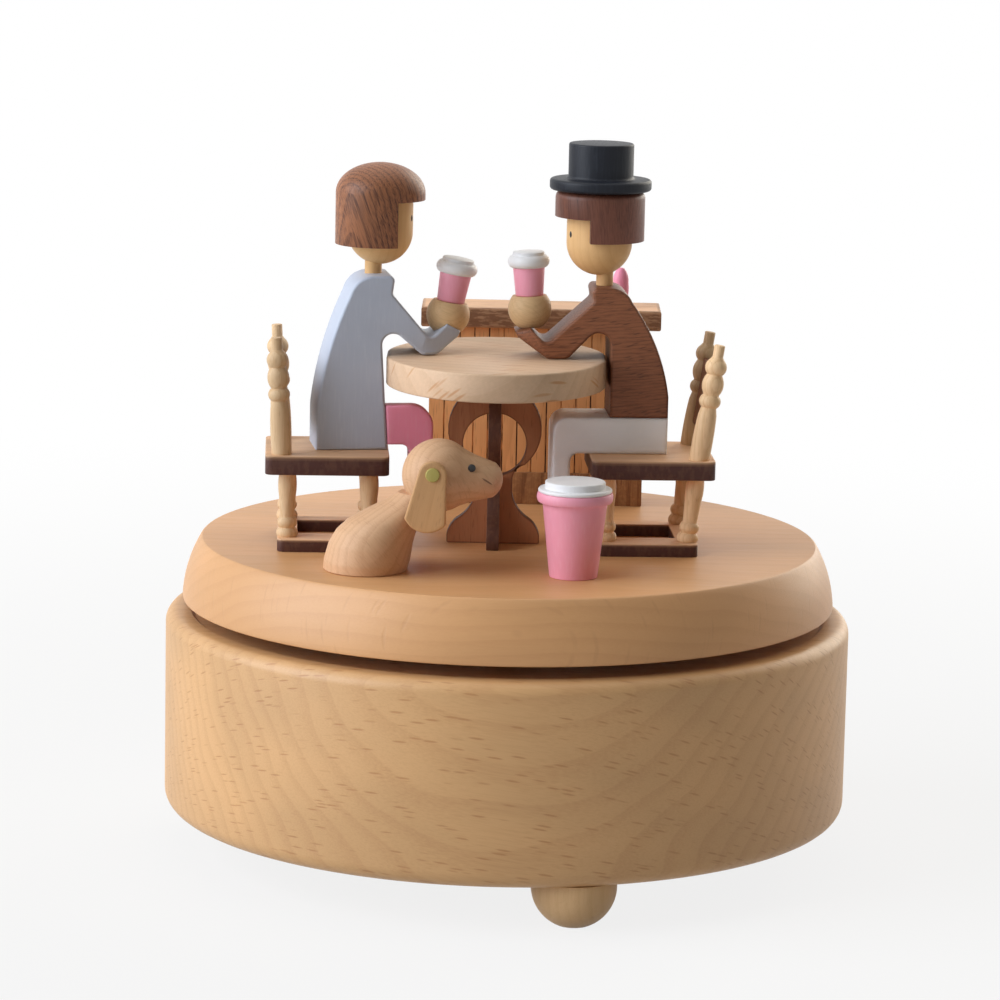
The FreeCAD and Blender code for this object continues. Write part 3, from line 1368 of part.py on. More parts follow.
def pedestal_board(label, slots):
    """One of the two crossed boards, with its ring hole and the slots that let the other through."""
    board = new_body(label)
    half = S.board_thickness / 2
    sketch = new_sketch(board, "XZ_Plane", label + "_outline", -half)
    draw_outline(sketch, pedestal_outline())
    add_pad(board, sketch, S.board_thickness, label + "_board")
    DOC.recompute()
    hole = new_sketch(board, "XZ_Plane", label + "_hole", -half)
    draw_circle(hole, 0.0, S.ring_hole_height, S.ring_hole_radius)
    cut_pocket(board, hole, S.board_thickness, label + "_hole_cut")
    for index, (low, high) in enumerate(slots):
        slot = new_sketch(board, "XZ_Plane", "%s_slot_%d" % (label, index), -half)
        draw_outline(slot, rectangle(-half, half, low, high))
        cut_pocket(board, slot, S.board_thickness, "%s_slot_cut_%d" % (label, index))
    return board


def make_pedestal():
    """Two crossed boards under the tabletop: the side board is slotted from above, the other from below."""
    hole_low = S.ring_hole_height - S.ring_hole_radius
    hole_top = S.ring_hole_height + S.ring_hole_radius
    side = pedestal_board("pedestal_side_board", [
        (S.lap_height, hole_low + S.ring_hole_radius * 0.2),
        (hole_top - S.ring_hole_radius * 0.2, S.pedestal_height),
    ])
    place(side, S.table_x, S.table_y, deck)
    front = pedestal_board("pedestal_front_board", [(as_size(0.0), S.lap_height)])
    place(front, S.table_x, S.table_y, deck, Z_AXIS, as_size(90.0))
    return [side, front]


def leg_profile(length):
    """Turned chair leg: a foot bead, a smaller bead, and a slender shaft that swells a little."""
    bead = S.spindle_bead
    neck = S.spindle_neck
    return [
        (0.0, 0.0),
        (neck * 0.9, 0.0),
        (neck, length * 0.17, bow(length * 0.085, bead - neck * 0.95), 1),
        (neck * 0.95, length * 0.32, bow(length * 0.075, (bead - neck) * 0.8), 1),
        (neck * 1.1, length * 0.62),
        (neck, length, bow(length * 0.19, bead * 0.12), 1),
        (0.0, length),
    ]


def post_rings():
    """Beads of a chair post from the lowest up."""
    return [
        (S.low_ring_drop, S.low_ring_half),
        (S.middle_ring_drop, S.middle_ring_half),
        (S.top_ring_drop, S.top_ring_half),
    ]


def post_profile(length, rings):
    """Turned chair post with beads: each one's middle below the top, and half its length."""
    neck = S.spindle_neck
    corners = [(0.0, 0.0), (S.spindle_shaft, 0.0)]
    lowest = length - rings[0][0] - rings[0][1]
    plain = lowest - S.post_taper
    corners.append((S.spindle_shaft * 0.95, plain, bow(plain / 2, S.post_swell), 1))
    corners.append((neck, lowest))
    for distance, half in rings:
        corners.append((neck, length - distance + half, bow(half, S.spindle_bead - neck), 1))
    corners.append((S.spindle_plug, length - S.plug_length))
    corners.append((S.spindle_plug, length))
    corners.append((0.0, length))
    return corners


def trimmed_spindle(turning, x, y, lean, length):
    """A turned leg or post at its place in the chair, leaning along X and cut level from 0 to the length."""
    spindle = moved(turning.Shape, x, y, -S.spindle_trim, Y_AXIS, lean)
    room = spindle.BoundBox
    room.enlarge(float(S.spindle_bead))
    corner = FreeCAD.Vector(room.XMin, room.YMin, 0.0)
    return spindle.common(Part.makeBox(room.XLength, room.YLength, float(length), corner))


def make_chair(side, outward, middle_x, middle_y, seat_shift, post_lean, leg_lean):
    """A chair: base frame, four turned legs, seat, two turned posts and a back board.

    It is drawn round the middle of its base frame and then turned and moved to its place.
    """
    def put(thing, level):
        place(thing, middle_x, middle_y, level, Z_AXIS, S.chair_turn)

    half_width = S.ring_width / 2
    half_depth = S.ring_depth / 2
    frame = new_body(side + "_chair_frame")
    sketch = new_sketch(frame, "XY_Plane", side + "_frame_outline")
    draw_outline(sketch, rectangle(-half_width, half_width, -half_depth, half_depth))
    add_pad(frame, sketch, S.ring_thickness, side + "_frame_board")
    round_uprights(frame, S.chair_corner, side + "_frame_corners")
    inner = new_sketch(frame, "XY_Plane", side + "_frame_opening")
    draw_outline(inner, rectangle(-half_width + S.ring_end_bar, half_width - S.ring_end_bar,
                                  -half_depth + S.ring_front_bar, half_depth - S.ring_back_bar))
    cut_pocket(frame, inner, S.ring_thickness, side + "_frame_cut")
    put(frame, deck)

    half_seat = S.seat_width / 2
    seat_x = seat_shift * outward
    seat = new_body(side + "_chair_seat")
    sketch = new_sketch(seat, "XY_Plane", side + "_seat_outline")
    draw_outline(sketch, rectangle(seat_x - half_seat, seat_x + half_seat, -S.seat_depth / 2, S.seat_depth / 2))
    add_pad(seat, sketch, S.seat_thickness, side + "_seat_board")
    round_uprights(seat, S.chair_corner, side + "_seat_corners")
    put(seat, seat_low)

    leg = turned_body(side + "_leg_turning", leg_profile(S.leg_length + S.spindle_trim * 2))
    leg_x = half_width - S.leg_inset
    legs = []
    for leg_y in (S.leg_front_inset - half_depth, half_depth - S.leg_back_inset):
        legs.append(trimmed_spindle(leg, leg_x * outward, leg_y, leg_lean * outward, S.leg_length))
        legs.append(trimmed_spindle(leg, leg_x * -outward, leg_y, 0.0, S.leg_length))
    put(group(side + "_chair_legs", legs), frame_top)

    lean = post_lean * outward
    post = turned_body(side + "_post_turning", post_profile(S.post_length + S.spindle_trim, post_rings()))
    post_x = seat_x + (half_seat - S.post_inset) * outward
    posts = []
    for post_y in (-S.post_spacing / 2, S.post_spacing / 2):
        posts.append(trimmed_spindle(post, post_x, post_y, lean, S.post_length * 2))
    put(group(side + "_chair_posts", posts), seat_top)

    width = S.post_spacing - (S.spindle_bead + S.slat_gap) * 2
    low = S.slat_rise + S.spindle_trim
    high = low + S.slat_height
    outline = []
    for reach, aside in ((low, -0.5), (low, 0.5), (high, 0.5), (high, -0.5)):
        off = S.slat_thickness * aside
        outline.append((post_x + sine(lean) * reach + cosine(lean) * off,
                        cosine(lean) * reach - sine(lean) * off - S.spindle_trim))
    slat = new_body(side + "_chair_slat")
    sketch = new_sketch(slat, "XZ_Plane", side + "_slat_outline", -width / 2)
    draw_outline(sketch, outline)
    add_pad(slat, sketch, width, side + "_slat_board")
    put(slat, seat_top)


def figure_size(name, part):
    """A size of one of the two figures."""
    return getattr(S, "%s_%s" % (name, part))


def make_torso(name, facing, base):
    """A figure's body and arm: one board with a bowed back and a hand end narrowed in plan."""
    def size(part):
        return figure_size(name, part)

    def ahead(reach):
        return as_size(reach) * facing

    turn = -facing
    corners = [
        (ahead(-size("back")), 0.0),
        (ahead(size("front")), 0.0),
        (ahead(size("arch_reach")), size("arch")),
        (ahead(size("elbow_reach")), size("arm_low")),
        (ahead(size("palm_reach")), size("arm_low")),
        (ahead(size("tip_reach") - S.finger_slant), size("tip") - S.finger_end),
        (ahead(size("tip_reach")), size("tip")),
        (ahead(size("finger_reach")), size("finger")),
        (ahead(size("wrist_reach")), size("wrist")),
        (ahead(size("throat_reach")), size("throat")),
        (ahead(size("throat_reach") + S.throat_step), size("shoulder")),
        (ahead(-size("nape")), size("shoulder")),
        (ahead(-size("back")), size("bend"), size("bow"), facing),
    ]
    torso = new_body(name + "_torso")
    half = S.figure_thickness / 2
    sketch = new_sketch(torso, "XZ_Plane", name + "_outline", -half)
    draw_outline(sketch, corners)
    add_pad(torso, sketch, S.figure_thickness, name + "_board")
    round_corners(torso, [corners[2]], size("arch_round"), name + "_arch")
    round_corners(torso, [corners[3], corners[4]], S.arm_round, name + "_arm_underside")
    round_corners(torso, [corners[8]], S.wrist_round, name + "_wrist")
    round_corners(torso, [corners[9], corners[10]], S.throat_round, name + "_throat_round")
    round_corners(torso, [corners[11]], size("nape_round"), name + "_nape_round")
    slimming = new_sketch(torso, "XY_Plane", name + "_hand_plan")
    fold = ahead(size("fold"))
    beyond = ahead(size("tip_reach") + 1.0)
    narrow = S.hand_tip_half
    for sign in (1, -1):
        draw_outline(slimming, [
            (fold, half * sign),
            (beyond, narrow * sign),
            (beyond, (half + 1.0) * sign),
            (fold, (half + 1.0) * sign),
        ])
    cut_pocket(torso, slimming, size("shoulder"), name + "_hand_taper")
    seat = torso.newObject("PartDesign::SubtractiveSphere", name + "_bead_seat")
    bind(seat, "Radius", S.hand_radius + S.hand_clearance)
    bind(seat, "Placement.Base.x", ahead(size("hand_reach")))
    bind(seat, "Placement.Base.z", size("hand"))
    DOC.recompute()
    socket = new_sketch(torso, "XY_Plane", name + "_neck_socket", size("shoulder") - S.neck_socket)
    draw_circle(socket, 0.0, 0.0, S.neck_radius + S.tenon_clearance)
    cut_pocket(torso, socket, S.neck_socket + 1.0, name + "_neck_hole")
    place(torso, figure_size(name, "x"), figure_size(name, "y"), base, Z_AXIS, figure_size(name, "turn"))
    return torso


def forward_place(name, facing, reach):
    """Place (x, y) of a point ahead of the neck, in the direction that the figure faces."""
    turn = figure_size(name, "turn")
    along = as_size(reach) * facing
    return figure_size(name, "x") + along * cosine(turn), figure_size(name, "y") + along * sine(turn)


def make_neck(name, base):
    """Neck dowel from the body up into the head."""
    neck = DOC.addObject("Part::Cylinder", name + "_neck")
    neck.Label = name + "_neck"
    low = figure_size(name, "shoulder") - S.neck_socket
    bind(neck, "Radius", S.neck_radius)
    bind(neck, "Height", figure_size(name, "chin") + S.neck_socket - low)
    place(neck, figure_size(name, "x"), figure_size(name, "y"), base + low)
    return neck


def make_head(name, facing, base):
    """Turned head with a round chin, drilled for the neck."""
    ball = S.head_radius
    head = turned_body(name + "_head", [
        (0.0, 0.0),
        (ball, ball, ball, 1),
        (ball, ball + S.head_side),
        (0.0, ball + S.head_side),
    ])
    socket = new_sketch(head, "XY_Plane", name + "_head_socket")
    draw_circle(socket, -S.head_offset * facing, 0.0, S.neck_radius + S.tenon_clearance)
    cut_pocket(head, socket, S.neck_socket, name + "_head_hole")
    x, y = forward_place(name, facing, S.head_offset)
    place(head, x, y, base + figure_size(name, "chin"), Z_AXIS, figure_size(name, "turn"))
    return head


def cut_face(hair, name, facing, low, fringe):
    """Cut the front of a hair cap away below its fringe."""
    beyond = S.hair_radius + 1.0
    window = new_sketch(hair, "XZ_Plane", name + "_face_window", -beyond)
    draw_outline(window, rectangle(S.fringe_cut * facing, beyond * facing, low - 1.0, fringe))
    cut_pocket(hair, window, beyond * 2, name + "_face_cut")


def make_hair(name, facing, base):
    """Walnut hair cap bored for the head, with the face cut free."""
    radius = S.hair_radius
    bore = S.head_radius + S.hair_gap
    low = figure_size(name, "hair_low")
    top = figure_size(name, "hair_top")
    bore_top = figure_size(name, "chin") + S.head_radius + S.head_side
    corners = [(bore, low), (radius, low)]
    if name == "woman":
        bend = S.woman_hair_bend
        knee = (radius * 0.72, bend + (top - bend) * 0.7)
        shoulder = bow_through(radius, bend, knee)
        crown = (radius * radius * 0.5184 + (top - knee[1]) * (top - knee[1])) / ((top - knee[1]) * 2)
        corners += [(radius, bend), knee + (shoulder, 1), (0.0, top, crown, 1)]
    else:
        edge = S.man_hair_round
        corners += [(radius, top - edge), (radius - edge, top, edge, 1), (0.0, top)]
    corners += [(0.0, bore_top), (bore, bore_top)]
    hair = turned_body(name + "_hair", corners)
    cut_face(hair, name, facing, low, figure_size(name, "fringe"))
    x, y = forward_place(name, facing, S.head_offset)
    place(hair, x, y, base, Z_AXIS, figure_size(name, "turn"))
    return hair


def bow_through(x, z, knee):
    """Radius of the arc that leaves (x, z) straight up and passes through the knee."""
    across = x - knee[0]
    rise = knee[1] - z
    return (across * across + rise * rise) / (across * 2)


def make_hat(base):
    """Black turned hat with a flat brim."""
    edge = S.hat_edge
    brim = S.hat_brim_height
    top = brim + S.hat_crown_height
    fine = edge * 0.5
    hat = turned_body("man_hat", [
        (0.0, 0.0),
        (S.hat_brim_radius - edge, 0.0),
        (S.hat_brim_radius, edge, edge, 1),
        (S.hat_brim_radius, brim - edge),
        (S.hat_brim_radius - edge, brim, edge, 1),
        (S.hat_crown_radius + edge, brim),
        (S.hat_crown_radius, brim + edge, edge, -1),
        (S.hat_crown_radius, top - fine),
        (S.hat_crown_radius - fine, top, fine, 1),
        (0.0, top),
    ])
    x, y = forward_place("man", -1, S.head_offset)
    place(hat, x, y, base + S.man_hair_top, Z_AXIS, S.man_turn)
    return hat


def make_hand(name, facing, base, lean):
    """Round bead in the hand, with a flat above and below, leaning with the cup."""
    ball = S.hand_radius
    hand = turned_body(name + "_hand", [
        (0.0, -S.hand_low),
        (root(ball * ball - S.hand_low * S.hand_low), -S.hand_low),
        (ball, 0.0, ball, 1),
        (root(ball * ball - S.hand_top * S.hand_top), S.hand_top, ball, 1),
        (0.0, S.hand_top),
    ])
    x, y = forward_place(name, facing, figure_size(name, "hand_reach"))
    place(hand, x, y, base + figure_size(name, "hand"), Y_AXIS, lean)
    return hand


def make_held_cup(name, facing, base, lean):
    """Takeaway cup on the upper flat of the hand bead, and its lid."""
    cup = turned_body(name + "_cup", [
        (0.0, 0.0),
        (S.cup_base_radius, 0.0),
        (S.cup_mouth_radius, S.cup_height),
        (0.0, S.cup_height),
    ])
    edge = S.lid_height / 2
    low = S.cup_height
    lid = turned_body(name + "_cup_lid", [
        (0.0, low),
        (S.lid_radius - edge * 0.6, low),
        (S.lid_radius, low + edge, bow(edge * 0.58, edge * 0.17), 1),
        (S.lid_radius - edge * 0.6, low + S.lid_height, bow(edge * 0.58, edge * 0.17), 1),
        (S.lid_step_radius, low + S.lid_height),
        (S.lid_step_radius, low + S.lid_height + S.lid_step_height),
        (0.0, low + S.lid_height + S.lid_step_height),
    ])
    x, y = forward_place(name, facing, figure_size(name, "hand_reach"))
    level = base + figure_size(name, "hand") + cosine(lean) * S.hand_top
    for piece in (cup, lid):
        place(piece, x + sine(lean) * S.hand_top, y, level, Y_AXIS, lean)
    return [cup, lid]


def make_woman_legs():
    """Pink leg board in front of the woman's body."""
    slope = (S.woman_front - S.woman_arch_reach) / S.woman_arch
    low = S.woman_leg_low
    top = S.woman_leg_top
    knee = S.woman_knee_reach
    inner = knee - S.woman_shin_width
    corners = [
        (S.woman_front - slope * low + S.leg_gap, low),
        (inner, low),
        (inner, -S.leg_drop),
        (knee, -S.leg_drop),
        (knee, top),
        (S.woman_front - slope * top + S.leg_gap, top),
    ]
    legs = new_body("woman_legs")
    half = S.figure_thickness / 2
    sketch = new_sketch(legs, "XZ_Plane", "woman_leg_outline", half - S.woman_leg_thickness)
    draw_outline(sketch, corners)
    add_pad(legs, sketch, S.woman_leg_thickness, "woman_leg_board")
    round_corners(legs, [corners[4]], S.woman_knee_round, "woman_knee")
    round_corners(legs, [corners[1]], S.knee_hollow, "woman_knee_hollow")
    place(legs, S.woman_x, S.woman_y, seat_top, Z_AXIS, S.woman_turn)
    return legs


def make_man_legs():
    """White leg board that the man's body stands on."""
    knee = -S.man_knee_reach
    inner = knee + S.man_shin_width
    corners = [
        (S.man_back, 0.0),
        (S.man_back, S.thigh_height),
        (knee, S.thigh_height),
        (knee, -S.leg_drop),
        (inner, -S.leg_drop),
        (inner, 0.0),
    ]
    legs = new_body("man_legs")
    half = S.figure_thickness / 2
    sketch = new_sketch(legs, "XZ_Plane", "man_leg_outline", -half)
    draw_outline(sketch, corners)
    add_pad(legs, sketch, S.figure_thickness, "man_leg_board")
    round_corners(legs, [corners[2]], S.man_knee_round, "man_knee")
    round_corners(legs, [corners[5]], S.knee_hollow, "man_knee_hollow")
    place(legs, S.man_x, S.man_y, seat_top, Z_AXIS, S.man_turn)
    return legs


def make_figure(name, facing, base, lean):
    """All pieces of one figure but its legs and hat."""
    make_torso(name, facing, base)
    make_neck(name, base)
    make_head(name, facing, base)
    make_hair(name, facing, base)
    make_hand(name, facing, base, lean)
    make_held_cup(name, facing, base, lean)


def make_big_cup():
    """Takeaway cup that stands on the deck, and its lid."""
    collar = S.big_collar_height
    top = S.big_cup_height + collar
    bulge = S.big_collar_radius
    cup = turned_body("takeaway_cup", [
        (0.0, 0.0),
        (S.big_cup_base, 0.0),
        (S.big_cup_mouth, S.big_cup_height),
        (bulge - S.big_collar_bulge, S.big_cup_height),
        (bulge - S.big_collar_bulge, top, bow(collar / 2, S.big_collar_bulge), 1),
        (0.0, top),
    ])
    place(cup, S.big_cup_x, S.big_cup_y, deck)
    flange = top + S.big_lid_flange
    fine = S.big_lid_edge
    lid = turned_body("takeaway_cup_lid", [
        (0.0, top),
        (S.big_lid_radius - fine, top),
        (S.big_lid_radius - fine, flange, bow(S.big_lid_flange / 2, S.big_collar_bulge), 1),
        (S.big_lid_step, flange),
        (S.big_lid_step, flange + S.big_lid_rise - fine),
        (S.big_lid_step - fine, flange + S.big_lid_rise, fine, 1),
        (0.0, flange + S.big_lid_rise),
    ])
    place(lid, S.big_cup_x, S.big_cup_y, deck)
    return [cup, lid]


def make_counter():
    """Counter with a plinth, a panel scored into planks and a thick top, and a small peg on it."""
    half = S.counter_width / 2
    plinth = DOC.addObject("Part::Box", "counter_plinth")
    plinth.Label = "counter_plinth"
    bind(plinth, "Length", S.counter_width)
    bind(plinth, "Width", S.counter_depth)
    bind(plinth, "Height", S.plinth_height)
    place(plinth, S.counter_x - half, S.counter_y, deck)

    panel = new_body("counter_panel")
    sketch = new_sketch(panel, "XY_Plane", "panel_outline")
    draw_outline(sketch, rectangle(-half, half, 0.0, S.counter_depth - S.panel_setback))
    add_pad(panel, sketch, S.panel_height, "panel_block")
    DOC.recompute()
    count = int(float(S.counter_width / S.plank_pitch))
    lines = new_sketch(panel, "XY_Plane", "plank_lines")
    for index in range(1, count):
        x = -half + S.plank_pitch * index
        draw_outline(lines, rectangle(x, x + S.plank_groove, -1.0, S.plank_depth))
    cut_pocket(panel, lines, S.panel_height, "plank_cuts")
    place(panel, S.counter_x, S.counter_y + S.panel_setback, deck + S.plinth_height)

    slab = DOC.addObject("Part::Box", "counter_slab_block")
    bind(slab, "Length", S.slab_width)
    bind(slab, "Width", S.slab_depth)
    bind(slab, "Height", S.slab_thickness)
    top = DOC.addObject("Part::Chamfer", "counter_top")
    top.Label = "counter_top"
    top.Base = slab
    DOC.recompute()
    edge = float(S.slab_edge)
    top.Edges = [(index + 1, edge, edge) for index, line in enumerate(slab.Shape.Edges)
                 if line.BoundBox.ZMin > float(S.slab_thickness) - 1e-6]
    place(top, S.counter_x + S.slab_shift - S.slab_width / 2, S.counter_y - S.slab_overhang,
          deck + S.plinth_height + S.panel_height)

    height = S.peg_height
    shoulder = height - S.peg_cap * 0.3
    peg = turned_body("counter_peg", [
        (0.0, 0.0),
        (S.peg_foot, 0.0),
        (S.peg_radius, S.peg_waist, S.peg_waist * 1.9, 1),
        (S.peg_cap, shoulder, height * 0.5, 1),
        (0.0, height, bow(S.peg_cap, S.peg_cap * 0.3), 1),
    ])
    place(peg, S.peg_x, S.counter_y + S.slab_depth * 0.3, deck + S.plinth_height + S.panel_height
          + S.slab_thickness)
    return [plinth, panel, top, peg]


# Dog body: share of the neck's height, then how far the section has moved from rump to neck
BODY_STEPS = [(0.0, 0.0, 1.0), (0.12, 0.03, 1.05), (0.34, 0.10, 1.0), (0.5, 0.2, 0.9),
              (0.64, 0.36, 0.74), (0.78, 0.62, 0.46), (0.9, 0.85, 0.16), (1.0, 1.0, 0.0)]


def make_dog():
    """Sitting dog: lofted body, turned head, two ear boards on one dowel."""
    sections = []
    for rise, shift, swell in BODY_STEPS:
        x = float(S.dog_rump_x) + shift * float(S.dog_neck_x - S.dog_rump_x)
        half = float(S.dog_neck_half) + swell * float(S.dog_rump_half - S.dog_neck_half)
        depth = float(S.dog_neck_half) + swell * float(S.dog_rump_depth - S.dog_neck_half)
        centre = FreeCAD.Vector(x, float(S.dog_y), float(deck) + rise * float(S.dog_neck_height))
        if half >= depth:
            oval = Part.Ellipse(centre, half, depth)
            oval.rotate(FreeCAD.Placement())
        else:
            oval = Part.Ellipse(centre + FreeCAD.Vector(0, depth, 0), centre + FreeCAD.Vector(half, 0, 0),
                                centre)
        sections.append(Part.Wire([oval.toShape()]))
    ball = Part.makeSphere(float(S.dog_skull + S.dog_neck_gap), FreeCAD.Vector(
        float(S.dog_head_x), float(S.dog_y), float(deck + S.dog_head_height)))
    body = DOC.addObject("Part::Feature", "dog_body")
    body.Label = "dog_body"
    body.Shape = Part.makeLoft(sections, True, False).cut(ball)

    skull = S.dog_skull
    meet = root(skull * skull - S.dog_brow_radius * S.dog_brow_radius)
    head = turned_body("dog_head", [
        (0.0, -skull),
        (skull, 0.0, skull, 1),
        (S.dog_brow_radius, meet, skull, 1),
        (S.dog_cheek_radius, S.dog_cheek, S.dog_cheek_hollow, -1),
        (S.dog_nose_radius, S.dog_muzzle),
        (0.0, S.dog_nose, bow(S.dog_nose_radius, S.dog_nose - S.dog_muzzle), 1),
    ])
    DOC.recompute()
    tilt = S.dog_head_tilt + 90.0
    pin_low = -(skull + S.ear_gap + S.ear_thickness + S.ear_pin_proud)
    bore = new_sketch(head, "XZ_Plane", "ear_pin_bore", pin_low)
    back = sine(S.dog_head_tilt) * -S.ear_pin_rise + cosine(S.dog_head_tilt) * S.ear_pin_x
    side = cosine(S.dog_head_tilt) * -S.ear_pin_rise - sine(S.dog_head_tilt) * S.ear_pin_x
    draw_circle(bore, side, back, S.ear_pin_radius + S.tenon_clearance)
    cut_pocket(head, bore, -pin_low * 2, "ear_pin_hole")
    place(head, S.dog_head_x, S.dog_y, deck + S.dog_head_height, Y_AXIS, tilt)

    ear = new_body("ear_board")
    sketch = new_sketch(ear, "XZ_Plane", "ear_outline")
    top = S.ear_pin_drop
    low = top - S.ear_length
    narrow = S.ear_top_half
    wide = S.ear_low_half
    draw_outline(sketch, [
        (-wide, low + wide * 0.55),
        (0.0, low, wide * 1.18, 1),
        (wide, low + wide * 0.55, wide * 1.18, 1),
        (narrow, top - narrow),
        (0.0, top, narrow, 1),
        (-narrow, top - narrow, narrow, 1),
    ])
    add_pad(ear, sketch, S.ear_thickness, "ear_pad")
    DOC.recompute()
    hole = new_sketch(ear, "XZ_Plane", "ear_hole")
    draw_circle(hole, 0.0, 0.0, S.ear_pin_radius + S.tenon_clearance)
    cut_pocket(ear, hole, S.ear_thickness, "ear_hole_cut")
    pin_x = S.dog_head_x + S.ear_pin_x
    pin_z = deck + S.dog_head_height + S.ear_pin_rise
    stand = skull + S.ear_gap
    swing = float(S.ear_swing)
    near = moved(ear.Shape, pin_x, S.dog_y - stand, pin_z, Y_AXIS, swing)
    far = moved(ear.Shape, pin_x, S.dog_y + stand + S.ear_thickness, pin_z, Y_AXIS, swing)
    group("dog_ears", [near, far])

    pin = DOC.addObject("Part::Cylinder", "dog_ear_pin")
    pin.Label = "dog_ear_pin"
    bind(pin, "Radius", S.ear_pin_radius)
    bind(pin, "Height", -pin_low * 2)
    place(pin, pin_x, S.dog_y - pin_low, pin_z, X_AXIS, as_size(90.0))
    return [body, head, pin]


NODES = [
    "drum", "bottom_cover", "ball_feet", "base_screws", "bedplate", "spring_housing", "mainspring",
    "comb", "comb_screws", "drive_gear", "winding_arbor", "cylinder_pinion", "cylinder",
    "cylinder_gear", "governor_wheel", "governor_worm", "turntable_flange", "flange_screws", "platform",
    "table_top", "pedestal_side_board", "pedestal_front_board",
    "left_chair_frame", "left_chair_seat", "left_chair_legs", "left_chair_posts", "left_chair_slat",
    "right_chair_frame", "right_chair_seat", "right_chair_legs", "right_chair_posts", "right_chair_slat",
    "woman_torso", "woman_legs", "woman_neck", "woman_head", "woman_hair", "woman_hand", "woman_cup",
    "woman_cup_lid",
    "man_torso", "man_legs", "man_neck", "man_head", "man_hair", "man_hat", "man_hand", "man_cup",
    "man_cup_lid",
    "takeaway_cup", "takeaway_cup_lid", "counter_plinth", "counter_panel", "counter_top", "counter_peg",
    "dog_body", "dog_head", "dog_ears", "dog_ear_pin",
]


def build_all():
    """Build every piece."""
    make_drum()
    make_cover()
    make_feet()
    make_base_screws()
    make_bedplate()
    make_housing()
    make_mainspring()
    make_comb()
    make_comb_screws()
    make_drive_gear()
    make_arbor()
    make_cylinder_pinion()
    make_cylinder()
    make_cylinder_gear()
    make_governor_wheel()
    make_worm()
    make_flange()
    make_flange_screws()
    make_platform()
    make_table_top()
    make_pedestal()
    make_chair("left", -1, -S.left_chair_x, S.left_chair_y, S.left_seat_shift, S.left_lean, as_size(0.0))
    make_chair("right", 1, S.right_chair_x, S.right_chair_y, S.right_seat_shift, S.right_lean,
               S.right_leg_lean)
    make_figure("woman", 1, seat_top, S.woman_cup_lean)
    make_woman_legs()
    man_base = seat_top + S.thigh_height
    make_figure("man", -1, man_base, S.man_cup_lean)
    make_man_legs()
    make_hat(man_base)
    make_big_cup()
    make_counter()
    make_dog()
    DOC.recompute()


def check_and_export():
    """Stop on any failed object or bad shape, then write every node."""
    for thing in DOC.Objects:
        if "Invalid" in thing.State or "Error" in thing.State:
            raise RuntimeError("%s failed: %s" % (thing.Label, thing.State))
    os.makedirs("parts", exist_ok=True)
    by_label = {thing.Label: thing for thing in DOC.Objects}
    for name in NODES:
        shape = by_label[name].Shape
        if shape.isNull() or not shape.isValid() or not shape.Solids:
            raise RuntimeError("%s has no valid solid" % name)
    for name in NODES:
        by_label[name].Shape.exportStep(os.path.join("parts", name + ".step"))
        print("%-22s %2d solid(s) %10.2f mm3" % (name, len(by_label[name].Shape.Solids),
                                                 by_label[name].Shape.Volume))


build_all()
check_and_export()
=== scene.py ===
"""Looks for a wooden music box whose turning platform carries a cafe scene.

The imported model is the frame, and every piece here stands for one of its nodes or dresses it.
Sizes are in millimetres until a mesh is made, because the turner and the laser cutter work in them.
+X is to the right, +Y to the back and +Z up, with the origin under the drum's middle.
"""
from __future__ import annotations

import logging
import math
from collections.abc import Iterable, Mapping, Sequence
from dataclasses import dataclass, field
from enum import Enum
from typing import ClassVar

import bpy
import numpy as np
from mathutils import Matrix, Vector
from mathutils.geometry import tessellate_polygon


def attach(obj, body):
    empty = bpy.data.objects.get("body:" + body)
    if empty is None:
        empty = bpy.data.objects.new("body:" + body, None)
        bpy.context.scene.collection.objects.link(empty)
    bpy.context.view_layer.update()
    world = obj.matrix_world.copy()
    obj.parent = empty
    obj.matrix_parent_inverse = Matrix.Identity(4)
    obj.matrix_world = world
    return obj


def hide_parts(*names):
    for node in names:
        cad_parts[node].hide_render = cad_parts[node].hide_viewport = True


LOG = logging.getLogger("music_box")
MM = 0.001
PER_METRE = 1000.0
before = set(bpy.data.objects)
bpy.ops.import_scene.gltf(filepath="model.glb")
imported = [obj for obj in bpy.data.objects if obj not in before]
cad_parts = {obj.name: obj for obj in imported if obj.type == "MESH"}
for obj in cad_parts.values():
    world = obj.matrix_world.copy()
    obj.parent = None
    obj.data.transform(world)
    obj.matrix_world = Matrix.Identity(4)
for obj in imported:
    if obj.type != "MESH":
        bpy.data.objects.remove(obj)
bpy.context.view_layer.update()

# Levels of the box, from the ground up, in millimetres
FOOT_TOP = 7.4
DRUM_TOP = 39.2
PLATFORM_LOW = 41.2
DECK = 51.0
FRAME_TOP = 53.0
SEAT_LOW = 63.2
SEAT_TOP = 66.2
TABLE_LOW = 76.7
THIGH = 5.8

# How large rounds are cut up, and how edges are rounded and burnt
LARGE_ROUND = 224
SHARP_TURN = math.radians(22)
STEEPEST_TURN = 2.2
EDGE_SHARE = 0.45
EDGE_RINGS = 4
FAINT_BURN = 0.55

# A step of the cells that show as ray flecks, and the distance from the pith where they are sized
CELL = 0.56
ROUND_PITH = 60.0

Color = tuple[float, float, float]
Corner = tuple[float, ...]
Inputs = Mapping[str | int, object]


class Body(Enum):
    """The bodies that pieces ride on."""

    BASE = "base"
    TURNTABLE = "turntable"


class Way(Enum):
    """The plane that a board's outline is drawn in."""

    UPRIGHT = "xz"
    FLAT = "xy"


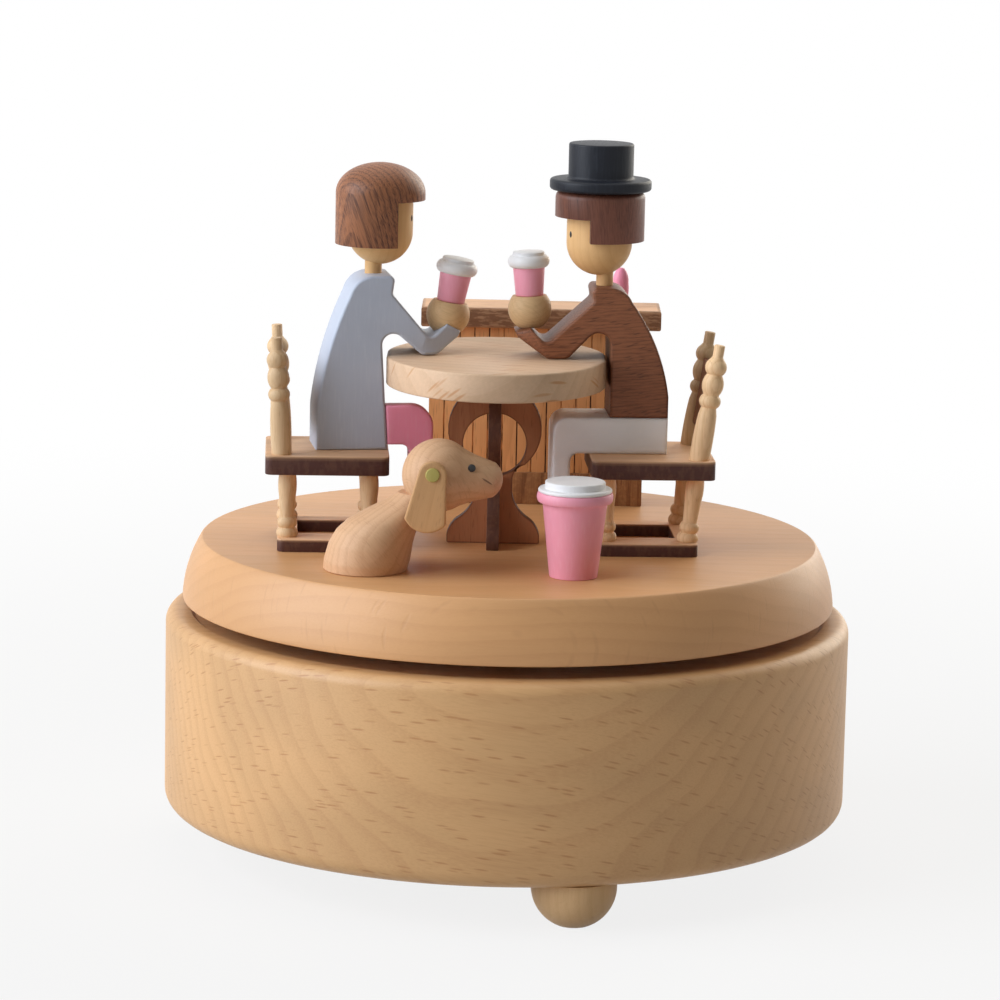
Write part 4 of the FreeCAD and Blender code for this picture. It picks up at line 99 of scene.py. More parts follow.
@dataclass
class Shape:
    """A mesh in the making.

    Attributes:
        points: Vertex places in millimetres, one row each.
        faces: Corner indices of each face.
        burn: Darkening by the laser or wear at each vertex, from 0 to 1.
    """

    points: np.ndarray
    faces: list[tuple[int, ...]]
    burn: np.ndarray

    def moved(self, x: float, y: float, z: float) -> Shape:
        """The shape shifted by the given millimetres."""
        return Shape(self.points + np.array([x, y, z]), self.faces, self.burn)

    def turned(self, axis: str, degrees: float) -> Shape:
        """The shape turned about the axis X, Y or Z through the origin."""
        matrix = np.array(Matrix.Rotation(math.radians(degrees), 3, axis))
        return Shape(self.points @ matrix.T, self.faces, self.burn)

    def mesh(self, name: str) -> bpy.types.Mesh:
        """The shape as a new mesh in metres.

        Args:
            name: Mesh name.

        Returns:
            The mesh.
        """
        mesh = bpy.data.meshes.new(name)
        mesh.from_pydata((self.points * MM).tolist(), [], self.faces)
        return mesh


def joined(shapes: Iterable[Shape]) -> Shape:
    """Several shapes as one, by stacking their points and shifting their face indices.

    Args:
        shapes: The shapes.

    Returns:
        One shape.
    """
    points, faces, burns, start = [], [], [], 0
    for shape in shapes:
        points.append(shape.points)
        burns.append(shape.burn)
        faces.extend([tuple(index + start for index in face) for face in shape.faces])
        start += len(shape.points)
    return Shape(np.vstack(points), faces, np.concatenate(burns))


def bow(half: float, rise: float) -> float:
    """Radius of an arc from half its chord and its rise."""
    return (half * half + rise * rise) / (2 * rise)


def arc(start: Sequence[float], end: Sequence[float], radius: float, side: int, steps: int) -> np.ndarray:
    """Points on a circle's arc of under half a turn, without its start.

    The centre lies on the chord's middle line, at the root of radius squared less half the chord
    squared. Points follow by even angles.

    Args:
        start: First point.
        end: Last point.
        radius: Radius of the arc.
        side: 1 if it bulges to the right of the way, -1 if to the left.
        steps: Number of points.

    Returns:
        The points, in order, with the end last.
    """
    first, last = np.array(start[:2], float), np.array(end[:2], float)
    along = last - first
    half = np.linalg.norm(along) / 2
    left = np.array([-along[1], along[0]]) / (2 * half)
    centre = (first + last) / 2 + left * math.sqrt(max(radius * radius - half * half, 0.0)) * side
    begin = math.atan2(*(first - centre)[::-1])
    sweep = 2 * math.asin(min(half / radius, 1.0)) * side
    angles = begin + sweep * np.arange(1, steps + 1) / steps
    return centre + radius * np.stack([np.cos(angles), np.sin(angles)], axis=1)


def trace(corners: Sequence[Corner], steps: int = 10, closed: bool = True) -> np.ndarray:
    """Points of an outline given by corners.

    Args:
        corners: (x, y) is reached by a straight edge, and (x, y, radius, side) by an arc.
        steps: Points on each arc.
        closed: Whether the first corner is reached from the last.

    Returns:
        The outline's points.
    """
    runs = []
    for index, corner in enumerate(corners):
        if len(corner) == 4 and (closed or index):
            runs.append(arc(corners[index - 1], corner, corner[2], int(corner[3]), steps))
        else:
            runs.append(np.array([corner[:2]], float))
    return np.vstack(runs)


def soften(outline: np.ndarray, radius: float, steps: int = 4, closed: bool = True) -> np.ndarray:
    """Round the sharp corners of an outline.

    Each corner that turns by more than SHARP_TURN becomes a quadratic curve between points a
    short way before and after it, at most EDGE_SHARE of each neighbouring edge.

    Args:
        outline: Points in order.
        radius: Rough radius of the rounding.
        steps: Curve steps at a corner.
        closed: Whether the outline closes on itself; if not, its two ends stay.

    Returns:
        The longer, rounded outline.
    """
    back = np.roll(outline, 1, axis=0) - outline
    ahead = np.roll(outline, -1, axis=0) - outline
    back_length = np.maximum(np.linalg.norm(back, axis=1), 1e-9)
    ahead_length = np.maximum(np.linalg.norm(ahead, axis=1), 1e-9)
    straight = -np.sum(back * ahead, axis=1) / (back_length * ahead_length)
    turn = np.arccos(np.clip(straight, -1, 1))
    sharp = turn > SHARP_TURN
    if not closed:
        sharp[[0, -1]] = False
    reach = np.minimum(radius * np.tan(np.minimum(turn, STEEPEST_TURN) / 2),
                       EDGE_SHARE * np.minimum(back_length, ahead_length))
    before = outline + back / back_length[:, None] * reach[:, None]
    after = outline + ahead / ahead_length[:, None] * reach[:, None]
    counts = np.where(sharp, steps + 1, 1)
    owner = np.repeat(np.arange(len(outline)), counts)
    place = np.arange(len(owner)) - np.repeat(np.cumsum(counts) - counts, counts)
    t = (place / steps)[:, None]
    curve = (1 - t) ** 2 * before[owner] + 2 * t * (1 - t) * outline[owner] + t ** 2 * after[owner]
    return np.where(sharp[owner][:, None], curve, outline[owner])


def round_some(corners: Sequence[Corner], radii: Mapping[int, float]) -> list[Corner]:
    """Round chosen corners of a corner list with tangent arcs.

    At a corner where the way turns by an angle, the arc starts radius times the tangent of half
    the angle before it and ends as far after it.

    Args:
        corners: Corners of a closed outline.
        radii: Radius for each chosen corner's index.

    Returns:
        The corners with each chosen one replaced by an arc's start and end.
    """
    result: list[Corner] = []
    for index, corner in enumerate(corners):
        if index not in radii:
            result.append(corner)
            continue
        here = np.array(corner[:2], float)
        back = np.array(corners[index - 1][:2], float) - here
        ahead = np.array(corners[(index + 1) % len(corners)][:2], float) - here
        back_length, ahead_length = np.linalg.norm(back), np.linalg.norm(ahead)
        back, ahead = back / back_length, ahead / ahead_length
        turn = math.pi - math.acos(float(np.clip(back @ ahead, -1, 1)))
        reach = min(radii[index] * math.tan(turn / 2), 0.48 * back_length, 0.48 * ahead_length)
        radius = reach / math.tan(turn / 2)
        cross = -back[0] * ahead[1] + back[1] * ahead[0]
        result.append(tuple(here + back * reach))
        result.append((*(here + ahead * reach), radius, 1 if cross > 0 else -1))
    return result


def oval(across: float, along: float, steps: int) -> np.ndarray:
    """Anticlockwise points (across cos a, along sin a) of an oval with those half sizes."""
    angles = 2 * np.pi * np.arange(steps) / steps
    return np.stack([across * np.cos(angles), along * np.sin(angles)], axis=1)


def box_outline(left: float, right: float, low: float, high: float, corner: float = 0.0) -> np.ndarray:
    """Anticlockwise rectangle, with rounded corners if a radius is given."""
    corners = np.array([(left, low), (right, low), (right, high), (left, high)], float)
    return soften(corners, corner, 6) if corner else corners


def grid_faces(rows: int, columns: int, start: int = 0, ring: bool = False) -> list[tuple[int, ...]]:
    """Four-cornered faces of a grid of points whose rows go round.

    Args:
        rows: Number of rows.
        columns: Points in a row, the last beside the first.
        start: Index of the first point.
        ring: Whether the last row is beside the first as well.

    Returns:
        Corner indices of each face.
    """
    row = np.arange(rows if ring else rows - 1)[:, None]
    column = np.arange(columns)[None, :]
    here, above, across = row * columns, (row + 1) % rows * columns, (column + 1) % columns
    corners = (here + column, here + across, above + across, above + column)
    return [tuple(face) for face in (np.stack(corners, axis=2).reshape(-1, 4) + start).tolist()]


def lathe(corners: Sequence[Corner], steps: int = 8, segments: int = 56, soft: float = 0.0,
          soft_steps: int = 3, ring: bool = False) -> Shape:
    """A solid turned about the Z axis from the corners of its profile.

    A point of the profile at radius r and height z goes to (r cos a, r sin a, z) for even angles
    a. Ends on the axis become single pole points, so the solid is closed.

    Args:
        corners: Corners of the profile as trace takes them, each a radius and a height, and
            anticlockwise as seen with the radius to the right.
        steps: Points on each arc.
        segments: Steps round the axis.
        soft: Radius that softens the sharp edges, or 0 for none.
        soft_steps: Steps of each softened edge.
        ring: Whether the profile is a closed loop off the axis.

    Returns:
        The closed solid.
    """
    profile = trace(corners, steps, ring)
    if soft:
        profile = soften(profile, soft, soft_steps, ring)
    rows = profile if ring else profile[1:-1]
    angles = 2 * np.pi * np.arange(segments) / segments
    radii, heights = rows[:, :1], np.repeat(rows[:, 1:2], segments, axis=1)
    points = np.stack([radii * np.cos(angles), radii * np.sin(angles), heights], axis=2).reshape(-1, 3)
    faces = grid_faces(len(rows), segments, ring=ring)
    if not ring:
        low, high = len(points), len(points) + 1
        top = low - segments
        points = np.vstack([points, [[0, 0, profile[0, 1]], [0, 0, profile[-1, 1]]]])
        faces += [(low, (step + 1) % segments, step) for step in range(segments)]
        faces += [(high, top + step, top + (step + 1) % segments) for step in range(segments)]
    return Shape(points, faces, np.zeros(len(points)))


def outward(outline: np.ndarray) -> np.ndarray:
    """Mitred outward normals of an outline: the mean of both edges' normals, stretched.

    Args:
        outline: Anticlockwise points.

    Returns:
        A normal for each point.
    """
    ahead = np.roll(outline, -1, axis=0) - outline
    ahead /= np.maximum(np.linalg.norm(ahead, axis=1), 1e-9)[:, None]
    right = np.stack([ahead[:, 1], -ahead[:, 0]], axis=1)
    mean = right + np.roll(right, 1, axis=0)
    return mean / np.maximum(np.sum(mean * mean, axis=1) / 2, 0.5)[:, None]


def edge_rings(low: float, high: float, edge: float, rim: float, fade: float) -> tuple[np.ndarray, ...]:
    """How far in, how high and how burnt each ring of points round a board is.

    Args:
        low: Lower face along the thickness.
        high: Upper face along the thickness.
        edge: Radius of the softened edges.
        rim: Width of the burnt rim, or 0 for none.
        fade: Depth over which the burn sets in below the upper face, or 0 for a burnt upper edge.

    Returns:
        Pull inwards, height and burn, one value for each ring from the lower face up.
    """
    angles = np.linspace(0, np.pi / 2, EDGE_RINGS)
    pull = np.concatenate([edge * (1 - np.sin(angles)), edge * (1 - np.sin(angles[::-1]))])
    rise = np.concatenate([low + edge * (1 - np.cos(angles)), high - edge * (1 - np.cos(angles[::-1]))])
    heat = np.linspace(FAINT_BURN, 1, EDGE_RINGS)
    if fade:
        pull = np.insert(pull, EDGE_RINGS, [0.0, 0.0])
        rise = np.insert(rise, EDGE_RINGS, [high - fade, high - fade * 0.5])
        heat = np.concatenate([heat, [1.0, 0.85], np.linspace(0.4, 0.0, EDGE_RINGS)])
    else:
        heat = np.concatenate([heat, np.linspace(1, FAINT_BURN, EDGE_RINGS)])
    if rim:
        pull = np.concatenate([[edge + rim], pull, [edge + rim]])
        rise = np.concatenate([[low], rise, [high]])
        heat = np.concatenate([[0.0], heat, [0.0]])
    return pull, rise, heat


def face_triangles(grid: np.ndarray, loops: Sequence[np.ndarray], upper: bool) -> list[tuple[int, ...]]:
    """Triangles that fill a board's face inside its outline and round its holes.

    Args:
        grid: All points, flat.
        loops: Point indices of the outline and of each hole.
        upper: Whether the face looks along the thickness, which makes its triangles anticlockwise.

    Returns:
        Corner indices of the triangles.
    """
    order = np.concatenate(loops)
    result = []
    flat = [[Vector((*grid[index][:2], 0.0)) for index in loop] for loop in loops]
    for triangle in tessellate_polygon(flat):
        corners = tuple(int(order[index]) for index in triangle)
        a, b, c = (grid[index][:2] for index in corners)
        anticlockwise = (b[0] - a[0]) * (c[1] - a[1]) - (b[1] - a[1]) * (c[0] - a[0]) > 0
        result.append(corners if anticlockwise == upper else corners[::-1])
    return result


def board(outline: np.ndarray, low: float, high: float, edge: float = 0.25, way: Way = Way.UPRIGHT,
          holes: Sequence[np.ndarray] = (), rim: float = 0.5, fade: float = 0.0) -> Shape:
    """A board with softened edges and an optional darkened rim.

    The outline, and each hole's outline, is carried through a quarter circle at either face: at
    angle a it is pulled in by edge times (1 - sin a) and lies edge times (1 - cos a) inside the
    face. With a rim, one more ring on each face, that much further in, ends the laser's burn.

    Args:
        outline: Anticlockwise outer outline.
        low: Lower face along the thickness.
        high: Upper face along the thickness.
        edge: Radius of the softened edges.
        way: Plane of the outline.
        holes: Clockwise outlines of openings.
        rim: Width of the burnt rim, or 0 for none.
        fade: Depth over which the burn sets in below the upper face, or 0 for a burnt upper edge.

    Returns:
        The closed board.
    """
    pull, rise, heat = edge_rings(low, high, edge, rim, fade)
    points, burns, faces, start = [], [], [], 0
    lower, upper = [], []
    for loop in (outline, *holes):
        count = len(loop)
        flat = loop[None, :, :] - outward(loop)[None, :, :] * pull[:, None, None]
        height = np.repeat(rise[:, None, None], count, axis=1)
        points.append(np.concatenate([flat, height], axis=2).reshape(-1, 3))
        burns.append(np.repeat(heat, count))
        faces += grid_faces(len(pull), count, start)
        lower.append(np.arange(count) + start)
        start += count * len(pull)
        upper.append(np.arange(-count, 0) + start)
    grid = np.vstack(points)
    faces += face_triangles(grid, lower, False) + face_triangles(grid, upper, True)
    if way is Way.UPRIGHT:
        grid = np.stack([grid[:, 0], -grid[:, 2], grid[:, 1]], axis=1)
    return Shape(grid, faces, np.concatenate(burns))


def tapered(shape: Shape, fold: float, tip: float, half: float, narrow: float) -> Shape:
    """Narrow a board in plan beyond a fold.

    Thickness falls in a straight line from half at the fold to narrow a millimetre past the tip.

    Args:
        shape: Upright board centred on Y, whose arm reaches towards +X.
        fold: X where the narrowing starts.
        tip: X of the arm's end.
        half: Half thickness of the board.
        narrow: Half thickness at the end.

    Returns:
        The narrowed board.
    """
    x = shape.points[:, 0]
    share = np.clip((x - fold) / (tip + 1.0 - fold), 0.0, 1.0)
    factor = 1.0 - share * (1.0 - narrow / half)
    points = shape.points * np.stack([np.ones_like(x), factor, np.ones_like(x)], axis=1)
    return Shape(points, shape.faces, shape.burn)


class Graph:
    """Short ways to add nodes to a material's or the world's tree."""

    def __init__(self, tree: bpy.types.NodeTree) -> None:
        """Work on one tree."""
        self.tree = tree

    def feed(self, node: bpy.types.Node, inputs: Inputs) -> None:
        """Feed a node's inputs from other sockets, or set them to constants.

        Args:
            node: The node.
            inputs: A socket or a constant for each input's name or number.
        """
        for key, value in inputs.items():
            if isinstance(value, bpy.types.NodeSocket):
                self.tree.links.new(value, node.inputs[key])
            else:
                node.inputs[key].default_value = value

    def add(self, kind: str, inputs: Inputs | None = None, **settings: object) -> bpy.types.Node:
        """Add a shader node, set its properties and feed its inputs.

        Args:
            kind: Node type without "ShaderNode".
            inputs: What its inputs are fed with.
            **settings: Its properties.

        Returns:
            The node.
        """
        node = self.tree.nodes.new("ShaderNode" + kind)
        for key, value in settings.items():
            setattr(node, key, value)
        self.feed(node, inputs or {})
        return node

    def math(self, operation: str, *values: object, clamp: bool = False) -> object:
        """A Math node's result from one value or more."""
        return self.add("Math", dict(enumerate(values)), operation=operation, use_clamp=clamp).outputs[0]

    def smooth(self, value: object, low: float, high: float, start: float = 0.0, end: float = 1.0) -> object:
        """Value eased from start to end as it goes from low to high."""
        inputs = {"Value": value, "From Min": low, "From Max": high, "To Min": start, "To Max": end}
        return self.add("MapRange", inputs, interpolation_type="SMOOTHSTEP").outputs["Result"]

    def mix(self, factor: object, first: object, second: object, blend: str = "MIX") -> object:
        """Two colours mixed.

        Args:
            factor: Share of the second colour.
            first: First colour.
            second: Second colour.
            blend: Blend type.

        Returns:
            The mixed colour.
        """
        first, second = ((*value, 1.0) if isinstance(value, tuple) else value for value in (first, second))
        inputs = {"Factor": factor, 6: first, 7: second}
        return self.add("Mix", inputs, data_type="RGBA", blend_type=blend).outputs[2]

    def place(self, location: Sequence[float] = (0.0, 0.0, 0.0), turn: Sequence[float] = (0.0, 0.0, 0.0),
              scale: float = PER_METRE) -> object:
        """Object coordinates, in millimetres unless scaled otherwise, turned (degrees) and moved."""
        inputs = {"Vector": self.add("TexCoord").outputs["Object"], "Location": location,
                  "Rotation": [math.radians(angle) for angle in turn], "Scale": (scale, scale, scale)}
        return self.add("Mapping", inputs, vector_type="POINT").outputs["Vector"]

    def stretch(self, vector: object, scale: Sequence[float]) -> object:
        """A vector multiplied part by part."""
        return self.add("VectorMath", {0: vector, 1: scale}, operation="MULTIPLY").outputs[0]

    def length(self, vector: object) -> object:
        """A vector's length."""
        return self.add("VectorMath", {0: vector}, operation="LENGTH").outputs["Value"]

    def noise(self, vector: object, detail: float = 3.0, roughness: float = 0.55,
              scale: float = 1.0) -> object:
        """A noise value from 0 to 1."""
        inputs = {"Vector": vector, "Scale": scale, "Detail": detail, "Roughness": roughness}
        return self.add("TexNoise", inputs).outputs["Fac"]

    def bump(self, height: object, distance: float, strength: float) -> object:
        """A bumped normal."""
        inputs = {"Height": height, "Distance": distance, "Strength": strength}
        return self.add("Bump", inputs).outputs["Normal"]

    def burn(self) -> object:
        """The mesh's own burn value at this point."""
        return self.add("Attribute", attribute_name="burn").outputs["Fac"]


def new_material(name: str) -> tuple[bpy.types.Material, Graph, bpy.types.Node]:
    """A new node material, its graph and its shader.

    Args:
        name: Material name.

    Returns:
        The material, its graph and its shader node.
    """
    material = bpy.data.materials.new(name)
    material.use_nodes = True
    return material, Graph(material.node_tree), material.node_tree.nodes["Principled BSDF"]


def centred(point: Color, turn: Color) -> list[float]:
    """Location for a Mapping node that turns by X, then Y, then Z and ends with a point at the origin."""
    about = [Matrix.Rotation(math.radians(angle), 3, axis) for angle, axis in zip(turn, "XYZ")]
    return [-value for value in about[2] @ about[1] @ about[0] @ Vector(point)]


@dataclass(frozen=True)
class Finish:
    """A finish that pieces share; its material is made when the first piece asks for it.

    Attributes:
        name: Material name.
        slot: Record slot of the pieces that have it; not used.
    """

    made: ClassVar[dict[str, bpy.types.Material]] = {}

    name: str
    slot: str

    def material(self) -> bpy.types.Material:
        """The finish's material, made once.

        Returns:
            The material.
        """
        if self.name not in Finish.made:
            material, graph, shader = new_material(self.name)
            self.dress(graph, shader)
            Finish.made[self.name] = material
        return Finish.made[self.name]

    def dress(self, graph: Graph, shader: bpy.types.Node) -> None:
        """Build the finish's nodes, which each kind of finish does in its own way."""
        raise NotImplementedError


@dataclass(frozen=True)
class Wood(Finish):
    """A wood finish worked out in three dimensions, so that each cut shows its own figure.

    The year rings are cylinders about a pith line. The fibres are drawn out along it, and each
    fleck is a thin ray that runs towards it.

    Attributes:
        light: Early wood.
        dark: Late wood.
        fleck: Short ray flecks and pores.
        pith: A point on the pith line in millimetres.
        turn: Degrees about X, Y and Z that lay the pith line, else upright, along the grain.
        ring: Ring width in millimetres.
        contrast: Strength of the rings, from 0 to 1.
        flecks: Strength of the flecks, from 0 to 1.
        fleck_size: Fleck width and length in millimetres.
        ray: Depth of a fleck towards the pith, in millimetres.
        fibres: Strength of the fine fibres.
        waver: How far the rings waver, in millimetres.
        roughness: Shader roughness.
        gloss: Specular level.
        char: Burnt edge.
        charring: Strength of the burnt edge.
        char_grain: Patches per millimetre of the burn along X, Y and Z.
        char_low: Share of the burn between those patches.
        mottle: Strength of the slow change of tone.
        mark: Centre, turn and half sizes, in millimetres, of one cut line, if there is one.
    """

    light: Color
    dark: Color
    fleck: Color
    pith: Color = (0.0, 0.0, 0.0)
    turn: Color = (0.0, 0.0, 0.0)
    ring: float = 3.0
    contrast: float = 0.5
    flecks: float = 0.5
    fleck_size: tuple[float, float] = (0.3, 2.4)
    ray: float = 8.0
    fibres: float = 0.6
    waver: float = 1.5
    roughness: float = 0.5
    gloss: float = 0.3
    char: Color = (0.03, 0.015, 0.01)
    charring: float = 0.0
    char_grain: Color = (1.6, 1.6, 1.6)
    char_low: float = 0.6
    mottle: float = 0.25
    mark: tuple[Color, Color, Color] | None = None

    def dress(self, graph: Graph, shader: bpy.types.Node) -> None:
        """Mix early and late wood by rings and fibres, then lay on flecks, tone, burn and mark.

        Args:
            graph: The material's graph.
            shader: Its shader node.
        """
        log = graph.place(centred(self.pith, self.turn), self.turn)
        from_pith = graph.length(graph.stretch(log, (1.0, 1.0, 0.0)))
        fibre = graph.noise(graph.stretch(log, (5.0, 5.0, 0.12)), 4.0, 0.65)
        fine = graph.math("MULTIPLY", graph.math("SUBTRACT", fibre, 0.45), 2.0 * self.fibres)
        band = graph.math("MULTIPLY", self.rings(graph, log, from_pith), self.contrast)
        colour = graph.mix(graph.math("ADD", band, fine, clamp=True), self.light, self.dark)
        speck = self.specks(graph, log, from_pith)
        colour = graph.mix(graph.math("MULTIPLY", speck, self.flecks), colour, self.fleck)
        patch = graph.noise(graph.stretch(log, (0.05, 0.05, 0.02)), 2.0)
        shade = graph.smooth(patch, 0.3, 0.7, 1.0 - self.mottle, 1.0 + self.mottle * 0.3)
        grey = graph.add("CombineColor", {0: shade, 1: shade, 2: shade}).outputs["Color"]
        colour = graph.mix(1.0, colour, grey, "MULTIPLY")
        if self.charring:
            worn = graph.noise(graph.stretch(graph.place(), self.char_grain))
            amount = graph.math("MULTIPLY", graph.burn(), graph.smooth(worn, 0.38, 0.56, self.char_low, 1.0))
            colour = graph.mix(graph.math("MULTIPLY", amount, self.charring), colour, self.char)
        if self.mark:
            colour = graph.mix(graph.math("MULTIPLY", self.cut_line(graph), 0.8), colour, self.char)
        relief = graph.math("SUBTRACT", fibre, graph.math("MULTIPLY", speck, 0.6))
        graph.feed(shader, {
            "Base Color": colour,
            "Specular IOR Level": self.gloss,
            "Roughness": graph.smooth(fibre, 0.2, 0.8, self.roughness - 0.07, self.roughness + 0.1),
            "Normal": graph.bump(relief, 0.00006, 0.35),
        })

    def rings(self, graph: Graph, log: object, from_pith: object) -> object:
        """Year rings, by the share of its year that a place's distance from the pith has reached.

        Args:
            graph: The material's graph.
            log: Place in the log, with the pith line as Z.
            from_pith: Distance from the pith line.

        Returns:
            A value from 0, in early wood, to 1, in late wood.
        """
        slow = graph.noise(graph.stretch(log, (0.03, 0.03, 0.012)), 2.0)
        sway = graph.math("MULTIPLY", graph.math("SUBTRACT", slow, 0.5), 6 * self.waver)
        year = graph.math("FRACT", graph.math("DIVIDE", graph.math("ADD", from_pith, sway), self.ring))
        return graph.math("MULTIPLY", graph.smooth(year, 0.35, 0.92), graph.smooth(year, 0.93, 1.0, 1.0, 0.0))

    def cut_line(self, graph: Graph) -> object:
        """The mark as a long oval: a place is turned, then divided by the mark's size.

        Args:
            graph: The material's graph.

        Returns:
            A value of 1 inside the mark and 0 outside.
        """
        centre, turn, size = self.mark
        here = graph.stretch(graph.place(centred(centre, turn), turn), [1.0 / value for value in size])
        return graph.smooth(graph.length(here), 0.6, 1.1, 1.0, 0.0)

    def specks(self, graph: Graph, log: object, from_pith: object) -> object:
        """Rays as long flat cells: deep towards the pith, short along the grain and thin round it.

        A cell's place is the distance from the pith, the turn about it taken at ROUND_PITH
        millimetres and the height along it, each over the fleck's own size.

        Args:
            graph: The material's graph.
            log: Place in the log, with the pith line as Z.
            from_pith: Distance from the pith line.

        Returns:
            A value from 0, between flecks, to 1.
        """
        width, length = self.fleck_size
        axes = graph.add("SeparateXYZ", {0: log}).outputs
        turn = graph.math("ARCTAN2", axes["Y"], axes["X"])
        cell = graph.add("CombineXYZ", {
            "X": graph.math("MULTIPLY", from_pith, CELL / self.ray),
            "Y": graph.math("MULTIPLY", turn, ROUND_PITH * CELL / width),
            "Z": graph.math("MULTIPLY", axes["Z"], CELL / length),
        }).outputs["Vector"]
        cells = graph.add("TexVoronoi", {"Vector": cell, "Scale": 1.0}, feature="F1").outputs
        return graph.math("MULTIPLY", graph.smooth(cells["Distance"], 0.14, 0.36, 1.0, 0.0),
                          graph.smooth(cells["Color"], 0.4, 0.62))


@dataclass(frozen=True)
class Paint(Finish):
    """Paint brushed on wood: a slight change of tone, a grain that shows as relief, and worn edges.

    Attributes:
        colour: The paint.
        worn: Colour at softened edges.
        wear: Strength of the worn edges.
        roughness: Shader roughness.
        grain: Direction of the wood under it, as scales for X, Y and Z.
        relief: Strength of the grain's relief.
        gloss: Specular level.
    """

    colour: Color
    worn: Color
    wear: float = 0.3
    roughness: float = 0.5
    grain: Color = (3.0, 3.0, 0.25)
    relief: float = 0.3
    gloss: float = 0.4

    def dress(self, graph: Graph, shader: bpy.types.Node) -> None:
        """Dull the paint in blots, let worn paint show along the grain and at burnt edges.

        Args:
            graph: The material's graph.
            shader: Its shader node.
        """
        place = graph.place()
        streaks = graph.noise(graph.stretch(place, self.grain), 4.0, 0.6)
        blots = graph.noise(place, scale=0.12)
        dull = tuple(channel * 0.92 for channel in self.colour)
        colour = graph.mix(graph.smooth(blots, 0.3, 0.75, 0.0, 0.8), self.colour, dull)
        colour = graph.mix(graph.smooth(streaks, 0.45, 0.8, 0.0, 0.35), colour, self.worn)
        edge = graph.math("MULTIPLY", graph.burn(), graph.smooth(blots, 0.2, 0.7, 0.5, 1.0))
        graph.feed(shader, {
            "Base Color": graph.mix(graph.smooth(edge, 0.3, 1.0, 0.0, self.wear), colour, self.worn),
            "Roughness": graph.smooth(streaks, 0.2, 0.8, self.roughness - 0.06, self.roughness + 0.1),
            "Specular IOR Level": self.gloss,
            "Normal": graph.bump(streaks, 0.00008, self.relief),
        })


@dataclass(frozen=True)
class Metal(Finish):
    """Bare metal with fine drawn or turned marks.

    Attributes:
        colour: The metal.
        roughness: Shader roughness.
        marks: Direction of the marks, as scales for X, Y and Z.
    """

    colour: Color
    roughness: float = 0.35
    marks: Color = (0.3, 6.0, 6.0)

    def dress(self, graph: Graph, shader: bpy.types.Node) -> None:
        """Dull the metal in slow patches and mark it finely.

        Args:
            graph: The material's graph.
            shader: Its shader node.
        """
        place = graph.place()
        marks = graph.noise(graph.stretch(place, self.marks))
        tarnish = graph.smooth(graph.noise(place, scale=0.25), 0.35, 0.75)
        graph.feed(shader, {
            "Base Color": graph.mix(tarnish, self.colour, tuple(channel * 0.72 for channel in self.colour)),
            "Metallic": 1.0,
            "Roughness": graph.smooth(marks, 0.2, 0.8, self.roughness - 0.08, self.roughness + 0.14),
            "Normal": graph.bump(marks, 0.00004, 0.25),
        })


# Finishes, by the maker's names
DRUM_BEECH = Wood(
    "drum_beech", "beech", (0.69, 0.40, 0.175), (0.55, 0.28, 0.112), (0.50, 0.235, 0.082),
    pith=(0.0, 40.0, -12.0), turn=(0.0, -98.0, 0.0), ring=2.7, contrast=0.30, flecks=0.8,
    fleck_size=(0.19, 2.5), ray=1.9, fibres=0.7, waver=1.8, roughness=0.45, gloss=0.6, mottle=0.12)
DECK_BEECH = Wood(
    "deck_beech", "beech", (0.71, 0.38, 0.165), (0.59, 0.285, 0.113), (0.52, 0.26, 0.11),
    pith=(0.0, -63.0, -27.0), turn=(0.0, -90.0, 2.0), ring=2.4, contrast=0.22, flecks=0.2,
    fleck_size=(0.18, 2.0), ray=4.0, fibres=0.3, waver=1.6, roughness=0.42, gloss=0.5, mottle=0.1)
TABLE_BEECH = Wood(
    "table_beech", "beech", (0.76, 0.53, 0.35), (0.62, 0.40, 0.24), (0.60, 0.31, 0.15),
    pith=(0.0, 45.0, 30.0), turn=(0.0, -66.0, 0.0), ring=2.2, contrast=0.3, flecks=0.85,
    fleck_size=(0.30, 3.2), ray=4.0, fibres=0.35, waver=1.0, charring=0.9, char=(0.06, 0.025, 0.016))
FOOT_BEECH = Wood(
    "foot_beech", "beech", (0.80, 0.52, 0.27), (0.70, 0.43, 0.205), (0.55, 0.32, 0.15),
    pith=(4.0, -50.0, 0.0), ring=1.6, contrast=0.3, flecks=0.25, fleck_size=(0.15, 1.5), ray=2.0)
PALE_MAPLE = Wood(
    "pale_maple", "pale_turning", (0.84, 0.52, 0.235), (0.72, 0.405, 0.165), (0.55, 0.31, 0.13),
    pith=(3.0, 2.0, 0.0), ring=1.4, contrast=0.25, flecks=0.15, fleck_size=(0.12, 1.2), ray=2.0, waver=0.6,
    fibres=0.4, mottle=0.15)
BEAD_WOOD = Wood(
    "bead_wood", "pale_turning", (0.74, 0.50, 0.265), (0.58, 0.37, 0.185), (0.50, 0.30, 0.14),
    pith=(0.0, 30.0, 60.0), turn=(20.0, 70.0, 0.0), ring=0.6, contrast=0.25, flecks=0.3,
    fleck_size=(0.12, 1.2), ray=2.0, waver=1.2, fibres=0.8)
DOG_WOOD = Wood(
    "dog_wood", "pale_turning", (0.69, 0.425, 0.245), (0.54, 0.295, 0.155), (0.42, 0.22, 0.12),
    pith=(-20.0, 10.0, 40.0), turn=(0.0, 40.0, 0.0), ring=1.1, contrast=0.35, flecks=0.35,
    fleck_size=(0.14, 1.5), ray=2.0, waver=0.8, mottle=0.15, char=(0.12, 0.05, 0.03),
    mark=((-3.5, -28.3, 65.55), (0.0, -34.0, 0.0), (1.05, 30.0, 0.16)))
